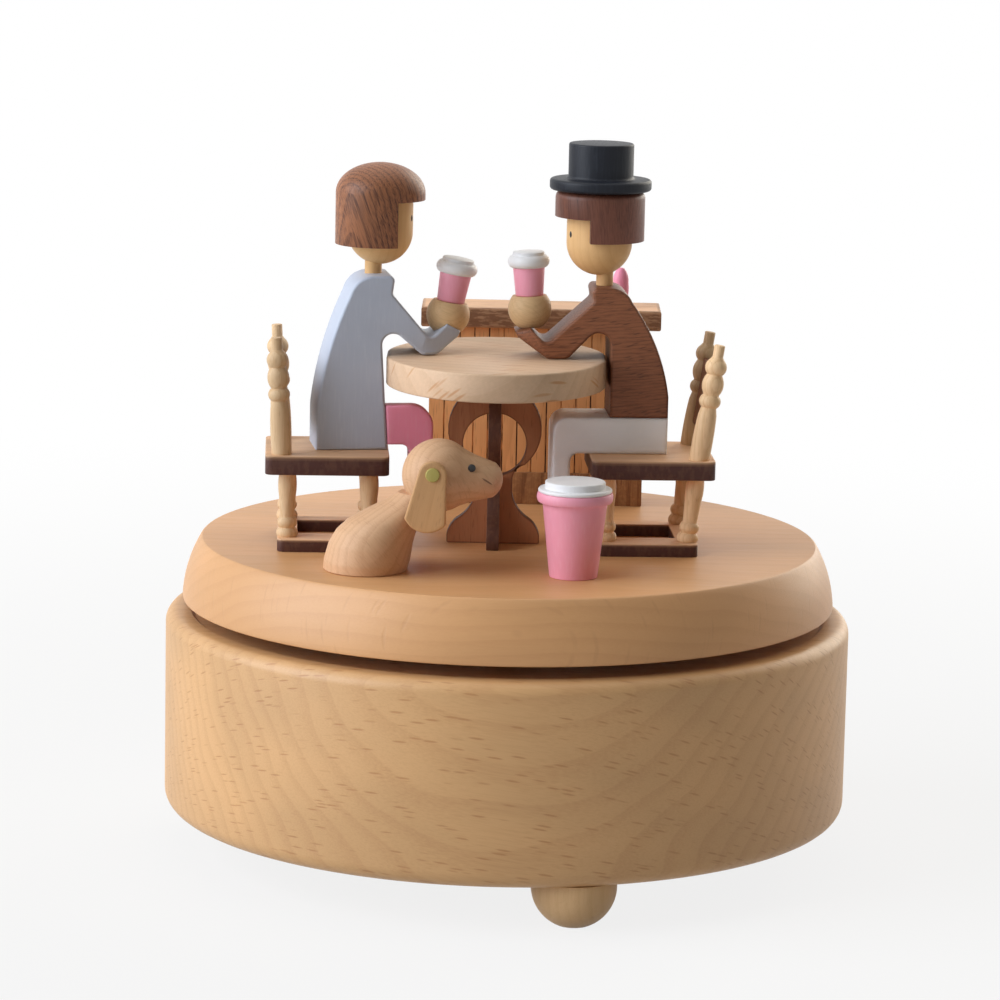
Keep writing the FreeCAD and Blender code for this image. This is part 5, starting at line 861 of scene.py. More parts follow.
EAR_WOOD = Wood(
    "ear_board_wood", "brown_board", (0.65, 0.375, 0.175), (0.54, 0.29, 0.12), (0.42, 0.21, 0.09),
    pith=(-60.0, 10.0, 40.0), turn=(0.0, -12.0, 0.0), ring=1.8, contrast=0.25, flecks=0.4,
    fleck_size=(0.14, 1.2), ray=2.0, waver=0.6)
SPINDLE_WOOD = Wood(
    "spindle_wood", "pale_turning", (0.90, 0.63, 0.37), (0.72, 0.45, 0.225), (0.56, 0.33, 0.16),
    pith=(0.0, 60.0, 0.0), turn=(3.0, 2.0, 0.0), ring=0.8, contrast=0.45, flecks=0.3, fleck_size=(0.12, 1.2),
    ray=2.0, waver=0.8, fibres=0.8)
WALNUT = Wood(
    "walnut", "walnut", (0.275, 0.102, 0.046), (0.105, 0.036, 0.018), (0.055, 0.020, 0.011),
    pith=(-10.0, 14.0, 150.0), turn=(0.0, -86.0, 12.0), ring=0.5, contrast=0.32, flecks=0.6,
    fleck_size=(0.06, 1.5), ray=0.5, fibres=1.3, roughness=0.45, charring=0.3, char=(0.04, 0.016, 0.01),
    char_low=0.8)
HAIR_WALNUT = Wood(
    "hair_walnut", "walnut", (0.42, 0.165, 0.072), (0.11, 0.038, 0.02), (0.055, 0.02, 0.012),
    pith=(-36.0, -20.0, 96.0), turn=(8.0, 20.0, 0.0), ring=0.9, flecks=0.6, fleck_size=(0.07, 1.8), ray=0.6,
    fibres=1.7, waver=2.6, roughness=0.4, mottle=0.45)
DARK_HAIR = Wood(
    "dark_hair_walnut", "walnut", (0.26, 0.094, 0.058), (0.10, 0.035, 0.023), (0.06, 0.024, 0.017),
    pith=(50.0, -40.0, 0.0), turn=(4.0, 6.0, 0.0), ring=2.2, contrast=0.25, flecks=0.35,
    fleck_size=(0.05, 1.2), ray=0.4, fibres=1.2, waver=2.4, roughness=0.4, mottle=0.5)
SEAT_WOOD = Wood(
    "seat_wood", "beech", (0.88, 0.55, 0.32), (0.72, 0.42, 0.235), (0.36, 0.17, 0.08),
    pith=(0.0, 10.0, 130.0), turn=(0.0, -90.0, 0.0), ring=1.2, contrast=0.3, flecks=0.4,
    fleck_size=(0.10, 1.6), ray=1.2, charring=0.98, char=(0.055, 0.015, 0.013), char_grain=(1.2, 1.2, 0.5),
    char_low=0.965)
PEDESTAL_WOOD = Wood(
    "pedestal_wood", "dark_board", (0.50, 0.215, 0.10), (0.36, 0.145, 0.068), (0.20, 0.075, 0.036),
    pith=(8.0, 60.0, 0.0), ring=0.9, contrast=0.35, fleck_size=(0.10, 1.6), ray=1.2, charring=0.92,
    char=(0.06, 0.020, 0.013), char_grain=(1.5, 1.5, 0.6), char_low=0.92, roughness=0.55)
COUNTER_WOOD = Wood(
    "counter_wood", "counter_wood", (0.83, 0.42, 0.175), (0.63, 0.29, 0.11), (0.28, 0.12, 0.045),
    pith=(-18.0, 90.0, 0.0), ring=1.2, contrast=0.4, fleck_size=(0.12, 2.2), ray=1.2, charring=0.95,
    char=(0.035, 0.013, 0.008), char_grain=(0.45, 0.45, 0.16), char_low=0.05)
COUNTER_TOP = Wood(
    "counter_top_wood", "counter_wood", (0.92, 0.55, 0.31), (0.66, 0.36, 0.19), (0.20, 0.09, 0.045),
    pith=(0.0, 20.0, 160.0), turn=(0.0, -90.0, 0.0), ring=1.1, contrast=0.4, fleck_size=(0.12, 2.2), ray=1.2,
    charring=0.85, char=(0.11, 0.038, 0.016), char_grain=(0.6, 1.6, 2.6), char_low=0.7, roughness=0.45)
PLINTH_WOOD = Wood(
    "plinth_wood", "walnut", (0.56, 0.27, 0.11), (0.27, 0.11, 0.04), (0.11, 0.038, 0.015),
    pith=(-18.0, 90.0, 0.0), ring=1.0, contrast=0.6, flecks=0.6, fleck_size=(0.14, 3.0), ray=1.2, fibres=0.9,
    charring=0.4, char=(0.06, 0.022, 0.012))
PLYWOOD = Wood(
    "plywood", "plywood", (0.70, 0.50, 0.31), (0.56, 0.37, 0.21), (0.42, 0.27, 0.15), pith=(0.0, 20.0, 30.0),
    turn=(0.0, 90.0, 0.0), ring=4.0, contrast=0.35, flecks=0.3)
GREY_PAINT = Paint("grey_paint", "grey_paint", (0.50, 0.55, 0.66), (0.62, 0.66, 0.74), relief=0.15)
PINK_PAINT = Paint("pink_paint", "pink_paint", (0.95, 0.315, 0.465), (0.92, 0.46, 0.55), roughness=0.45)
WHITE_PAINT = Paint(
    "white_paint", "white_paint", (0.92, 0.94, 0.97), (0.95, 0.95, 0.95), grain=(0.4, 3.0, 3.0))
CUP_PINK = Paint("cup_pink", "pink_paint", (0.90, 0.36, 0.47), (0.94, 0.52, 0.62), wear=0.2, roughness=0.42)
LID_WHITE = Paint(
    "lid_white", "white_paint", (0.86, 0.855, 0.865), (0.90, 0.90, 0.90), wear=0.2, roughness=0.4)
BLACK_PAINT = Paint(
    "black_paint", "black_paint", (0.008, 0.010, 0.016), (0.045, 0.052, 0.066), wear=0.5, roughness=0.42,
    gloss=0.22)
EYE_BLACK = Paint(
    "eye_black", "black_paint", (0.012, 0.010, 0.010), (0.02, 0.02, 0.02), wear=0.0, roughness=0.3)
GREEN_DOWEL = Paint("green_dowel", "green_dowel", (0.45, 0.38, 0.10), (0.58, 0.50, 0.20), wear=0.2)
STEEL = Metal("steel", "steel", (0.56, 0.57, 0.58), 0.32)
BRASS = Metal("brass", "brass", (0.80, 0.58, 0.25), 0.28)
CAST_ZINC = Metal("cast_zinc", "cast_plate", (0.55, 0.55, 0.55), 0.5, (1.5, 1.5, 1.5))


def add_object(name: str, data: bpy.types.ID) -> bpy.types.Object:
    """A new object in the scene for a mesh, a lamp or a camera.

    Args:
        name: Object name.
        data: The mesh, lamp or camera.

    Returns:
        The object.
    """
    thing = bpy.data.objects.new(name, data)
    bpy.context.scene.collection.objects.link(thing)
    return thing


def make_piece(name: str, shape: Shape, finish: Finish, node: str = "", body: Body = Body.TURNTABLE,
               crisp: float = 35.0) -> bpy.types.Object:
    """Make a finished piece of the scene.

    Args:
        name: Object name.
        shape: Its shape in millimetres.
        finish: Its finish.
        node: CAD node that it stands for, if there is one.
        body: Body that it rides on.
        crisp: Edges sharper than this many degrees stay crisp.

    Returns:
        The object.
    """
    mesh = shape.mesh(name)
    mesh.attributes.new("burn", "FLOAT", "POINT").data.foreach_set("value", shape.burn.astype(np.float32))
    mesh.polygons.foreach_set("use_smooth", np.ones(len(mesh.polygons), bool))
    mesh.set_sharp_from_angle(angle=math.radians(crisp))
    mesh.materials.append(finish.material())
    mesh.validate()
    piece = add_object(name, mesh)
    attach(piece, body.value)
    if node:
        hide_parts(node)
    LOG.info("%s: %d faces", name, len(mesh.polygons))
    return piece


def cut_with(piece: bpy.types.Object, cutter: Shape, width: float = 0.25) -> None:
    """Cut a shape out of a piece and soften the new edges.

    Args:
        piece: The piece.
        cutter: The shape to take away.
        width: Width of the softened edges in millimetres.
    """
    tool = add_object("cutter", cutter.mesh("cutter"))
    cut = piece.modifiers.new("cut", "BOOLEAN")
    cut.operation = "DIFFERENCE"
    cut.solver = "EXACT"
    cut.object = tool
    bevel = piece.modifiers.new("soft_edge", "BEVEL")
    bevel.width = width * MM
    bevel.segments = 2
    bevel.limit_method = "ANGLE"
    bevel.angle_limit = math.radians(40)
    finished = bpy.data.meshes.new_from_object(piece.evaluated_get(bpy.context.evaluated_depsgraph_get()))
    piece.modifiers.clear()
    old, piece.data = piece.data, finished
    finished.set_sharp_from_angle(angle=math.radians(32))
    bpy.data.meshes.remove(old)
    bpy.data.objects.remove(tool)


@dataclass
class Studio:
    """Camera, lights, floor and backdrop.

    Attributes:
        camera_place: Camera, in metres.
        pitch: Its downward tilt in radians.
        roll: Its roll in radians.
        heading: Its turn to the right in radians.
        lens: Focal length on a 36 millimetre sensor.
        ambient: Strength of the soft surroundings.
        warmth: Their colour.
        floor_colour: The floor.
        floor_reach: Half its width in metres.
    """

    camera_place: Color = (0.0, -0.6593, 0.17623)
    pitch: float = 0.1788
    roll: float = 0.02096
    heading: float = -0.00238
    lens: float = 150.0
    ambient: float = 0.15
    warmth: Color = (1.0, 0.90, 0.76)
    floor_colour: Color = (0.62, 0.62, 0.61)
    floor_reach: float = 6.0

    def build(self) -> None:
        """Set up the camera, a window from the left, a fill from behind, a soft top light and the floor."""
        self.set_camera()
        self.set_world()
        self.add_area("window", (-1.15, -0.35, 0.60), 1.2, 21.5, (0.94, 1.0, 1.09))
        self.add_area("fill", (0.75, 0.95, 0.50), 0.9, 8.5, (1.07, 1.0, 0.86))
        self.add_area("top", (-0.1, 0.2, 1.0), 0.8, 2.0, (1.04, 1.0, 0.94))
        self.set_floor()

    def set_camera(self) -> None:
        """Camera at the photograph's angle, from heading, downward pitch and roll."""
        data = bpy.data.cameras.new("camera")
        data.lens = self.lens
        data.sensor_width = 36.0
        data.clip_start = 0.02
        data.clip_end = 20.0
        camera = add_object("camera", data)
        down, side = self.pitch, self.heading
        forward = Vector((math.sin(side) * math.cos(down), math.cos(side) * math.cos(down), -math.sin(down)))
        right = Vector((math.cos(side), -math.sin(side), 0.0))
        up = right.cross(forward)
        rolled = right * math.cos(self.roll) + up * math.sin(self.roll)
        upper = up * math.cos(self.roll) - right * math.sin(self.roll)
        turn = Matrix((rolled, upper, -forward)).transposed().to_4x4()
        camera.matrix_world = Matrix.Translation(self.camera_place) @ turn
        bpy.context.scene.camera = camera

    @staticmethod
    def looked_at(graph: Graph) -> object:
        """Whether the camera, a reflection or clear glass shows a surface.

        Args:
            graph: The material's or the world's graph.

        Returns:
            A value of 1 if so, else 0.
        """
        path = graph.add("LightPath").outputs
        mirrored = graph.math("MAXIMUM", path["Is Glossy Ray"], path["Is Transmission Ray"])
        return graph.math("MAXIMUM", path["Is Camera Ray"], mirrored)

    def set_world(self) -> None:
        """Soft warm surroundings; the camera sees plain white."""
        world = bpy.data.worlds.new("studio")
        world.use_nodes = True
        bpy.context.scene.world = world
        graph = Graph(world.node_tree)
        seen = self.looked_at(graph)
        graph.feed(world.node_tree.nodes["Background"], {
            "Color": graph.mix(seen, self.warmth, (1.0, 1.0, 1.0)),
            "Strength": graph.math("MULTIPLY_ADD", seen, 1.0 - self.ambient, self.ambient),
        })

    @staticmethod
    def add_area(name: str, place: Color, size: float, power: float, colour: Color) -> None:
        """Add a square area light that faces the middle of the object.

        Args:
            name: Lamp name.
            place: Its place in metres.
            size: Its side in metres.
            power: Its power in watts.
            colour: Its colour.
        """
        data = bpy.data.lights.new(name, "AREA")
        data.size = size
        data.energy = power
        data.color = colour
        away = Vector(place) - Vector((0.0, 0.0, 0.06))
        turn = away.to_track_quat("Z", "Y").to_matrix().to_4x4()
        add_object(name, data).matrix_world = Matrix.Translation(place) @ turn

    def set_floor(self) -> None:
        """A pale floor that keeps the object's soft shadow and goes over to white further out."""
        mesh = bpy.data.meshes.new("floor")
        reach = self.floor_reach
        mesh.from_pydata([(-reach, -reach, 0), (reach, -reach, 0), (reach, reach, 0), (-reach, reach, 0)], [],
                         [(0, 1, 2, 3)])
        material, graph, shader = new_material("floor")
        graph.feed(shader, {"Base Color": (*self.floor_colour, 1.0), "Roughness": 0.9,
                            "Specular IOR Level": 0.0})
        share = graph.smooth(graph.length(graph.place(scale=1.0)), 0.10, 0.42, 0.84, 1.0)
        blend = graph.add("MixShader", {
            "Fac": graph.math("MULTIPLY", self.looked_at(graph), share),
            1: shader.outputs["BSDF"],
            2: graph.add("Emission", {"Strength": 1.0}).outputs["Emission"],
        })
        graph.feed(graph.tree.nodes["Material Output"], {"Surface": blend.outputs["Shader"]})
        mesh.materials.append(material)
        add_object("floor", mesh)


@dataclass
class Base:
    """Drum, cover, feet and the movement inside."""

    radius: float = 55.0
    low_round: float = 2.6
    top_round: float = 2.0
    cavity: float = 38.0
    cavity_top: float = 34.2
    cover_top: float = 10.6
    cover_bore: float = 43.5
    dish: float = 51.0
    dish_depth: float = 0.6
    shaft_hole: float = 3.2
    foot_ring: float = 47.0
    foot_turn: float = -76.45
    foot_radius: float = 6.6
    foot_flat: float = 2.6
    neck: float = 2.5
    neck_length: float = 5.0

    def build(self) -> None:
        """Make and dress everything that stays put."""
        self.make_drum()
        self.make_feet()
        self.dress_movement()

    def make_drum(self) -> None:
        """The drum's wall and top as one closed ring profile, with softened turned edges."""
        dish_floor = DRUM_TOP - self.dish_depth
        drum = lathe([
            (self.cover_bore, FOOT_TOP), (self.radius - self.low_round, FOOT_TOP),
            (self.radius, FOOT_TOP + self.low_round, self.low_round, 1),
            (self.radius, DRUM_TOP - self.top_round),
            (self.radius - self.top_round, DRUM_TOP, self.top_round, 1), (self.dish, DRUM_TOP),
            (self.dish - self.dish_depth, dish_floor), (self.shaft_hole, dish_floor),
            (self.shaft_hole, self.cavity_top), (self.cavity, self.cavity_top),
            (self.cavity, self.cover_top), (self.cover_bore, self.cover_top),
        ], 8, LARGE_ROUND, 0.3, ring=True)
        make_piece("drum_turning", drum, DRUM_BEECH, "drum", Body.BASE)

    def make_feet(self) -> None:
        """Three ball feet, each a turned ball with a sanded flat and a short neck."""
        radius = self.foot_radius
        centre = math.sqrt(radius ** 2 - self.foot_flat ** 2)
        shoulder = math.sqrt(radius ** 2 - (FOOT_TOP - centre) ** 2)
        ball = lathe([
            (0.0, 0.0), (self.foot_flat, 0.0), (radius, centre, radius, 1), (shoulder, FOOT_TOP, radius, 1),
            (self.neck, FOOT_TOP), (self.neck, FOOT_TOP + self.neck_length),
            (0.0, FOOT_TOP + self.neck_length),
        ], 16, 64, 0.3)
        angles = np.radians(self.foot_turn + 120.0 * np.arange(3))
        feet = [ball.turned("Z", 70.0 * index).moved(self.foot_ring * math.cos(angle),
                                                    self.foot_ring * math.sin(angle), 0.0)
                for index, angle in enumerate(angles)]
        make_piece("ball_feet_turned", joined(feet), FOOT_BEECH, "ball_feet", Body.BASE)

    @staticmethod
    def dress_movement() -> None:
        """Give the cover, the screws and the movement their finishes."""
        finishes: dict[Finish, tuple[str, ...]] = {
            PLYWOOD: ("bottom_cover",),
            STEEL: ("base_screws", "comb", "comb_screws", "flange_screws", "turntable_flange",
                    "spring_housing", "mainspring", "winding_arbor", "cylinder_pinion"),
            BRASS: ("cylinder", "cylinder_gear", "governor_wheel", "drive_gear", "governor_worm"),
            CAST_ZINC: ("bedplate",),
        }
        for finish, nodes in finishes.items():
            for node in nodes:
                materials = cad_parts[node].data.materials
                materials.clear()
                materials.append(finish.material())


@dataclass
class Platform:
    """The turning platform with its bowed side."""

    lower: float = 52.35
    upper: float = 49.55
    bow: float = 20.0
    chamfer: float = 0.3
    flange: float = 11.1
    flange_top: float = PLATFORM_LOW + 1.2
    shaft: float = 4.1
    shaft_top: float = 45.5

    def build(self) -> None:
        """Turn the platform, with the flange's recess below."""
        platform = lathe([
            (0.0, self.shaft_top), (self.shaft, self.shaft_top), (self.shaft, self.flange_top),
            (self.flange, self.flange_top), (self.flange, PLATFORM_LOW), (self.lower, PLATFORM_LOW),
            (self.upper, DECK - self.chamfer, self.bow, 1), (self.upper - self.chamfer, DECK), (0.0, DECK),
        ], 14, LARGE_ROUND, 0.35)
        make_piece("platform_turning", platform, DECK_BEECH, "platform")


@dataclass
class Table:
    """Oval table on two crossed boards."""

    x: float = -2.6
    y: float = -4.4
    length: float = 42.2
    width: float = 35.2
    flat: float = 34.7
    thickness: float = 4.5
    height: float = 25.7
    board: float = 2.0
    foot: float = 7.4
    neck: float = 4.9
    ring: float = 7.45
    hole: float = 5.05
    hole_height: float = 16.0

    def build(self) -> None:
        """Make the top and both boards."""
        self.make_top()
        self.make_pedestal()

    def make_top(self) -> None:
        """The top: an ellipse whose X is cut off at the two flats, which the saw has burnt."""
        outline = oval(self.width / 2, self.length / 2, 160)
        outline[:, 0] = np.clip(outline[:, 0], -self.flat / 2, self.flat / 2)
        top = board(outline, TABLE_LOW, TABLE_LOW + self.thickness, 0.3, Way.FLAT)
        top.burn *= np.interp(np.abs(top.points[:, 1]), [3.6, 6.5], [1.0, 0.1])
        make_piece("table_top_board", top.moved(self.x, self.y, 0.0), TABLE_BEECH, "table_top")

    def make_pedestal(self) -> None:
        """Two crossed boards, each with a foot, a stem and a ring."""
        centre = self.height + 0.15 - self.ring
        flat = math.sqrt(self.ring ** 2 - (self.height - centre) ** 2)
        neck = centre - math.sqrt(self.ring ** 2 - self.neck ** 2)
        right: list[Corner] = [
            (self.foot, 1.2), (5.4, 4.2, 4.2, 1), (2.9, 8.4, 6.0, -1), (2.9, 10.2),
            (self.neck, neck, 2.6, -1), (flat, self.height, self.ring, 1),
        ]
        left = [(-flat, self.height)]
        left += [(-right[index][0], right[index][1], *right[index + 1][2:]) for index in range(4, -1, -1)]
        outline = trace([(-self.foot, 0.0), (self.foot, 0.0), *right, *left], 12)
        hole = oval(self.hole, -self.hole, 48) + np.array([0.0, self.hole_height])
        half = self.board / 2
        single = board(soften(outline, 0.3, 2), -half, half, 0.08, Way.UPRIGHT, [hole], rim=0.2)
        for node, turn in (("pedestal_side_board", 0.0), ("pedestal_front_board", 90.0)):
            cut = single.turned("Z", turn).moved(self.x, self.y, DECK)
            make_piece(node + "_cut", cut, PEDESTAL_WOOD, node)


@dataclass
class Chair:
    """A chair with turned legs and posts, drawn round the middle of its base frame.

    Attributes:
        side: Left or right, as its names begin.
        outward: 1 if its back is towards +X, -1 if towards -X.
        x: Middle of its base frame across.
        y: Middle of its base frame along.
        shift: How far the seat lies further out than the base frame.
        lean: Degrees that the posts lean outwards.
        leg_lean: Degrees that the outer legs lean outwards.
        turn: Degrees that the chair is turned.
        trim: How far turned pieces reach into the boards.
        post_length: Length of a post above the seat.
        rings: Distance below the post's top, and half height, of each bead.
    """

    side: str
    outward: int
    x: float
    y: float
    shift: float
    lean: float
    leg_lean: float
    turn: float = 3.2
    trim: float = 0.45
    seat_half: tuple[float, float] = (9.75, 9.9)
    frame_half: tuple[float, float] = (8.0, 10.3)
    corner: float = 1.4
    post_length: float = 18.5
    post_out: float = 7.15
    post_apart: float = 7.6
    rings: Sequence[tuple[float, float]] = ((9.0, 1.0), (6.35, 1.65), (3.55, 1.15))
    bead: float = 1.72
    neck: float = 1.2
    slat_half: float = 5.83
    slat_height: float = 10.5

    def build(self) -> None:
        """Make every piece of the chair."""
        self.make_boards()
        self.make_legs()
        self.make_posts()
        self.make_slat()

    def stand(self, shape: Shape, z: float) -> Shape:
        """A shape turned with the chair and put in its place."""
        return shape.turned("Z", self.turn).moved(self.x, self.y, z)

    def make_boards(self) -> None:
        """Seat and base frame, laser cut with burnt edges."""
        middle = self.outward * self.shift
        across, along = self.seat_half
        seat = board(box_outline(middle - across, middle + across, -along, along, self.corner), 0.0,
                     SEAT_TOP - SEAT_LOW, 0.12, Way.FLAT, rim=0.25, fade=0.8)
        make_piece(self.side + "_seat", self.stand(seat, SEAT_LOW), SEAT_WOOD, self.side + "_chair_seat")
        across, along = self.frame_half
        opening = box_outline(-4.8, 4.8, -4.3, 7.1)[::-1]
        ring = board(box_outline(-across, across, -along, along, self.corner), 0.0, FRAME_TOP - DECK, 0.1,
                     Way.FLAT, [opening], rim=0.25, fade=0.5)
        make_piece(self.side + "_frame", self.stand(ring, DECK), SEAT_WOOD, self.side + "_chair_frame")

    def make_legs(self) -> None:
        """Four turned legs: a foot bead, a smaller bead and a slender shaft."""
        length = SEAT_LOW - FRAME_TOP + 2 * self.trim
        neck, bead = self.neck, self.bead
        leg = lathe([
            (0.0, 0.0), (neck * 0.9, 0.0),
            (neck, length * 0.17, bow(length * 0.085, bead - neck * 0.95), 1),
            (neck * 0.95, length * 0.32, bow(length * 0.075, (bead - neck) * 0.8), 1),
            (neck * 1.1, length * 0.62),
            (neck, length, bow(length * 0.19, bead * 0.12), 1),
            (0.0, length),
        ], 8, 40, 0.12, 2)
        legs = [leg.turned("Y", lean * self.outward).moved(across * self.outward, along, -self.trim)
                for along in (-6.9, 8.6) for across, lean in ((6.45, self.leg_lean), (-6.45, 0.0))]
        make_piece(self.side + "_legs_turned", self.stand(joined(legs), FRAME_TOP), SPINDLE_WOOD,
                   self.side + "_chair_legs")

    def lean_back(self, shape: Shape) -> Shape:
        """A shape that starts at the seat's top, leaned and moved out to the line of the posts."""
        leaned = shape.turned("Y", self.outward * self.lean)
        return leaned.moved(self.outward * (self.shift + self.post_out), 0.0, -self.trim)

    def make_posts(self) -> None:
        """Two turned posts with beads near the top."""
        length = self.post_length + self.trim
        lowest = length - self.rings[0][0] - self.rings[0][1]
        corners: list[Corner] = [(0.0, 0.0), (1.55, 0.0),
                                 (1.47, lowest - 1.2, bow((lowest - 1.2) / 2, 0.12), 1), (self.neck, lowest)]
        corners += [(self.neck, length - distance + half, bow(half, self.bead - self.neck), 1)
                    for distance, half in self.rings]
        corners += [(0.85, length - 1.9), (0.85, length), (0.0, length)]
        post = self.lean_back(lathe(corners, 10, 40, 0.14, 2))
        posts = joined([post.moved(0.0, along, 0.0) for along in (-self.post_apart, self.post_apart)])
        make_piece(self.side + "_posts_turned", self.stand(posts, SEAT_TOP), SPINDLE_WOOD,
                   self.side + "_chair_posts")

    def make_slat(self) -> None:
        """Thin walnut board between the posts."""
        slat = board(box_outline(-self.slat_half, self.slat_half, 0.0, self.slat_height), -0.5, 0.5, 0.1)
        slat = self.lean_back(slat.turned("Z", 90.0).moved(0.0, 0.0, 3.9 + self.trim))
        make_piece(self.side + "_slat", self.stand(slat, SEAT_TOP), WALNUT, self.side + "_chair_slat")


@dataclass
class Figure:
    """A seated figure: a board for the body and arm, a turned head, a hand bead and a cup.

    Attributes:
        name: Start of its pieces' names.
        facing: 1 if it faces +X, -1 if it faces -X.
        x: Neck across.
        y: Neck along.
        turn: Degrees that it is turned.
        base: Level of the body's underside.
        outline: Corners of the body's board, drawn facing +X about the neck.
        rounds: Radius of the board's corners that are rounded.
        fold: Where the arm starts to narrow.
        tip: End of the arm.
        shoulder: Height of the board's top.
        chin: Height of the chin.
        hand_reach: How far ahead of the neck the hand is.
        hand: Height of the hand bead's middle.
        cup_lean: Degrees that hand and cup lean.
        eye: Height of the eyes above the chin.
        hair: Finish of the hair.
        finish: Finish of the body.
    """

    name: str
    facing: int
    x: float
    y: float
    turn: float
    base: float
    outline: Sequence[Corner]
    rounds: Mapping[int, float]
    fold: float
    tip: float
    shoulder: float
    chin: float
    hand_reach: float
    hand: float
    cup_lean: float
    eye: float
    hair: Finish
    finish: Finish
    half: float = 5.0
    hand_half: float = 2.6
    head: float = 5.2
    head_height: float = 12.6
    head_ahead: float = 1.0
    neck: float = 1.35
    bead: float = 3.45
    bead_low: float = 2.9
    bead_top: float = 2.15

    def stand(self, shape: Shape, z: float = 0.0) -> Shape:
        """A shape made facing +X about the neck, turned and put in its place."""
        if self.facing < 0:
            shape = shape.turned("Z", 180.0)
        return shape.turned("Z", self.turn).moved(self.x, self.y, self.base + z)

    def build(self) -> None:
        """Make body, neck, head, hand and cup."""
        outline = trace(round_some(self.outline, self.rounds), 16)
        body = board(outline, -self.half, self.half, 0.42, rim=0.03)
        body = tapered(body, self.fold, self.tip, self.half, self.hand_half)
        make_piece(self.name + "_body", self.stand(body), self.finish, self.name + "_torso")
        self.make_neck_and_head()
        self.make_hand_and_cup()

    def make_neck_and_head(self) -> None:
        """Neck dowel, the turned head with a round chin, and its two painted eyes."""
        low, high, size, crown = self.shoulder - 3.0, self.chin + 3.0, self.head, self.head_height
        neck = lathe([(0.0, low), (self.neck, low), (self.neck, high), (0.0, high)], segments=32)
        make_piece(self.name + "_neck_dowel", self.stand(neck), PALE_MAPLE, self.name + "_neck")
        head = lathe([(0.0, 0.0), (size, size, size, 1), (size, crown), (0.0, crown)], 20, 72)
        head = head.moved(self.head_ahead, 0.0, self.chin)
        make_piece(self.name + "_head_turned", self.stand(head), PALE_MAPLE, self.name + "_head")
        dot = lathe([(0.0, -0.3), (0.34, -0.3), (0.34, 0.0), (0.0, 0.12, 0.6, 1)], 5, 20).turned("Y", 90.0)
        dot.points[:, 2] *= 1.5
        eyes = [dot.moved(size, 0.0, 0.0).turned("Z", way).moved(self.head_ahead, 0.0, self.chin + self.eye)
                for way in (-24.0, 24.0)]
        make_piece(self.name + "_eyes", self.stand(joined(eyes)), EYE_BLACK)

    def make_hand_and_cup(self) -> None:
        """Hand bead with two flats, and the cup with its lid on it."""
        ball, low, top = self.bead, self.bead_low, self.bead_top
        bead = lathe([(0.0, -low), (math.sqrt(ball ** 2 - low ** 2), -low), (ball, 0.0, ball, 1),
                      (math.sqrt(ball ** 2 - top ** 2), top, ball, 1), (0.0, top)], 14)
        cup = lathe([(0.0, 0.0), (2.2, 0.0), (2.52, 4.5), (0.0, 4.5)], soft=0.2)
        roll = bow(0.55, 0.16)
        lid = lathe([(0.0, 4.5), (2.73, 4.5), (3.3, 5.45, roll, 1), (2.73, 6.4, roll, 1), (2.55, 6.4),
                     (2.5, 6.9), (2.35, 7.0), (0.0, 7.0)])
        angle = math.radians(self.turn)
        reach = self.hand_reach * self.facing
        place = (self.x + reach * math.cos(angle), self.y + reach * math.sin(angle), self.base + self.hand)
        for part, name, finish in ((bead, "_hand_bead", BEAD_WOOD), (cup, "_cup_turned", CUP_PINK),
                                   (lid, "_cup_lid_turned", LID_WHITE)):
            if part is not bead:
                part = part.moved(0.0, 0.0, top)
            make_piece(self.name + name, part.turned("Y", self.cup_lean).moved(*place), finish,
                       self.name + name.rpartition("_")[0])

    def cap(self, profile: Sequence[Corner], low: float, fringe: float) -> None:
        """Hair cap: a turned shell with the face side cut away below the fringe.

        Args:
            profile: Corners of the shell's profile.
            low: Height of its lower edge.
            fringe: Height of the fringe.
        """
        shell = lathe(profile, 6, 96).moved(self.head_ahead, 0.0, 0.0)
        window = board(box_outline(3.0, 12.0, low - 1.0, fringe), -9.0, 9.0, 0.01, rim=0.01)
        hair = make_piece(self.name + "_hair_cap", self.stand(shell), self.hair, self.name + "_hair",
                          crisp=30.0)
        cut_with(hair, self.stand(window))


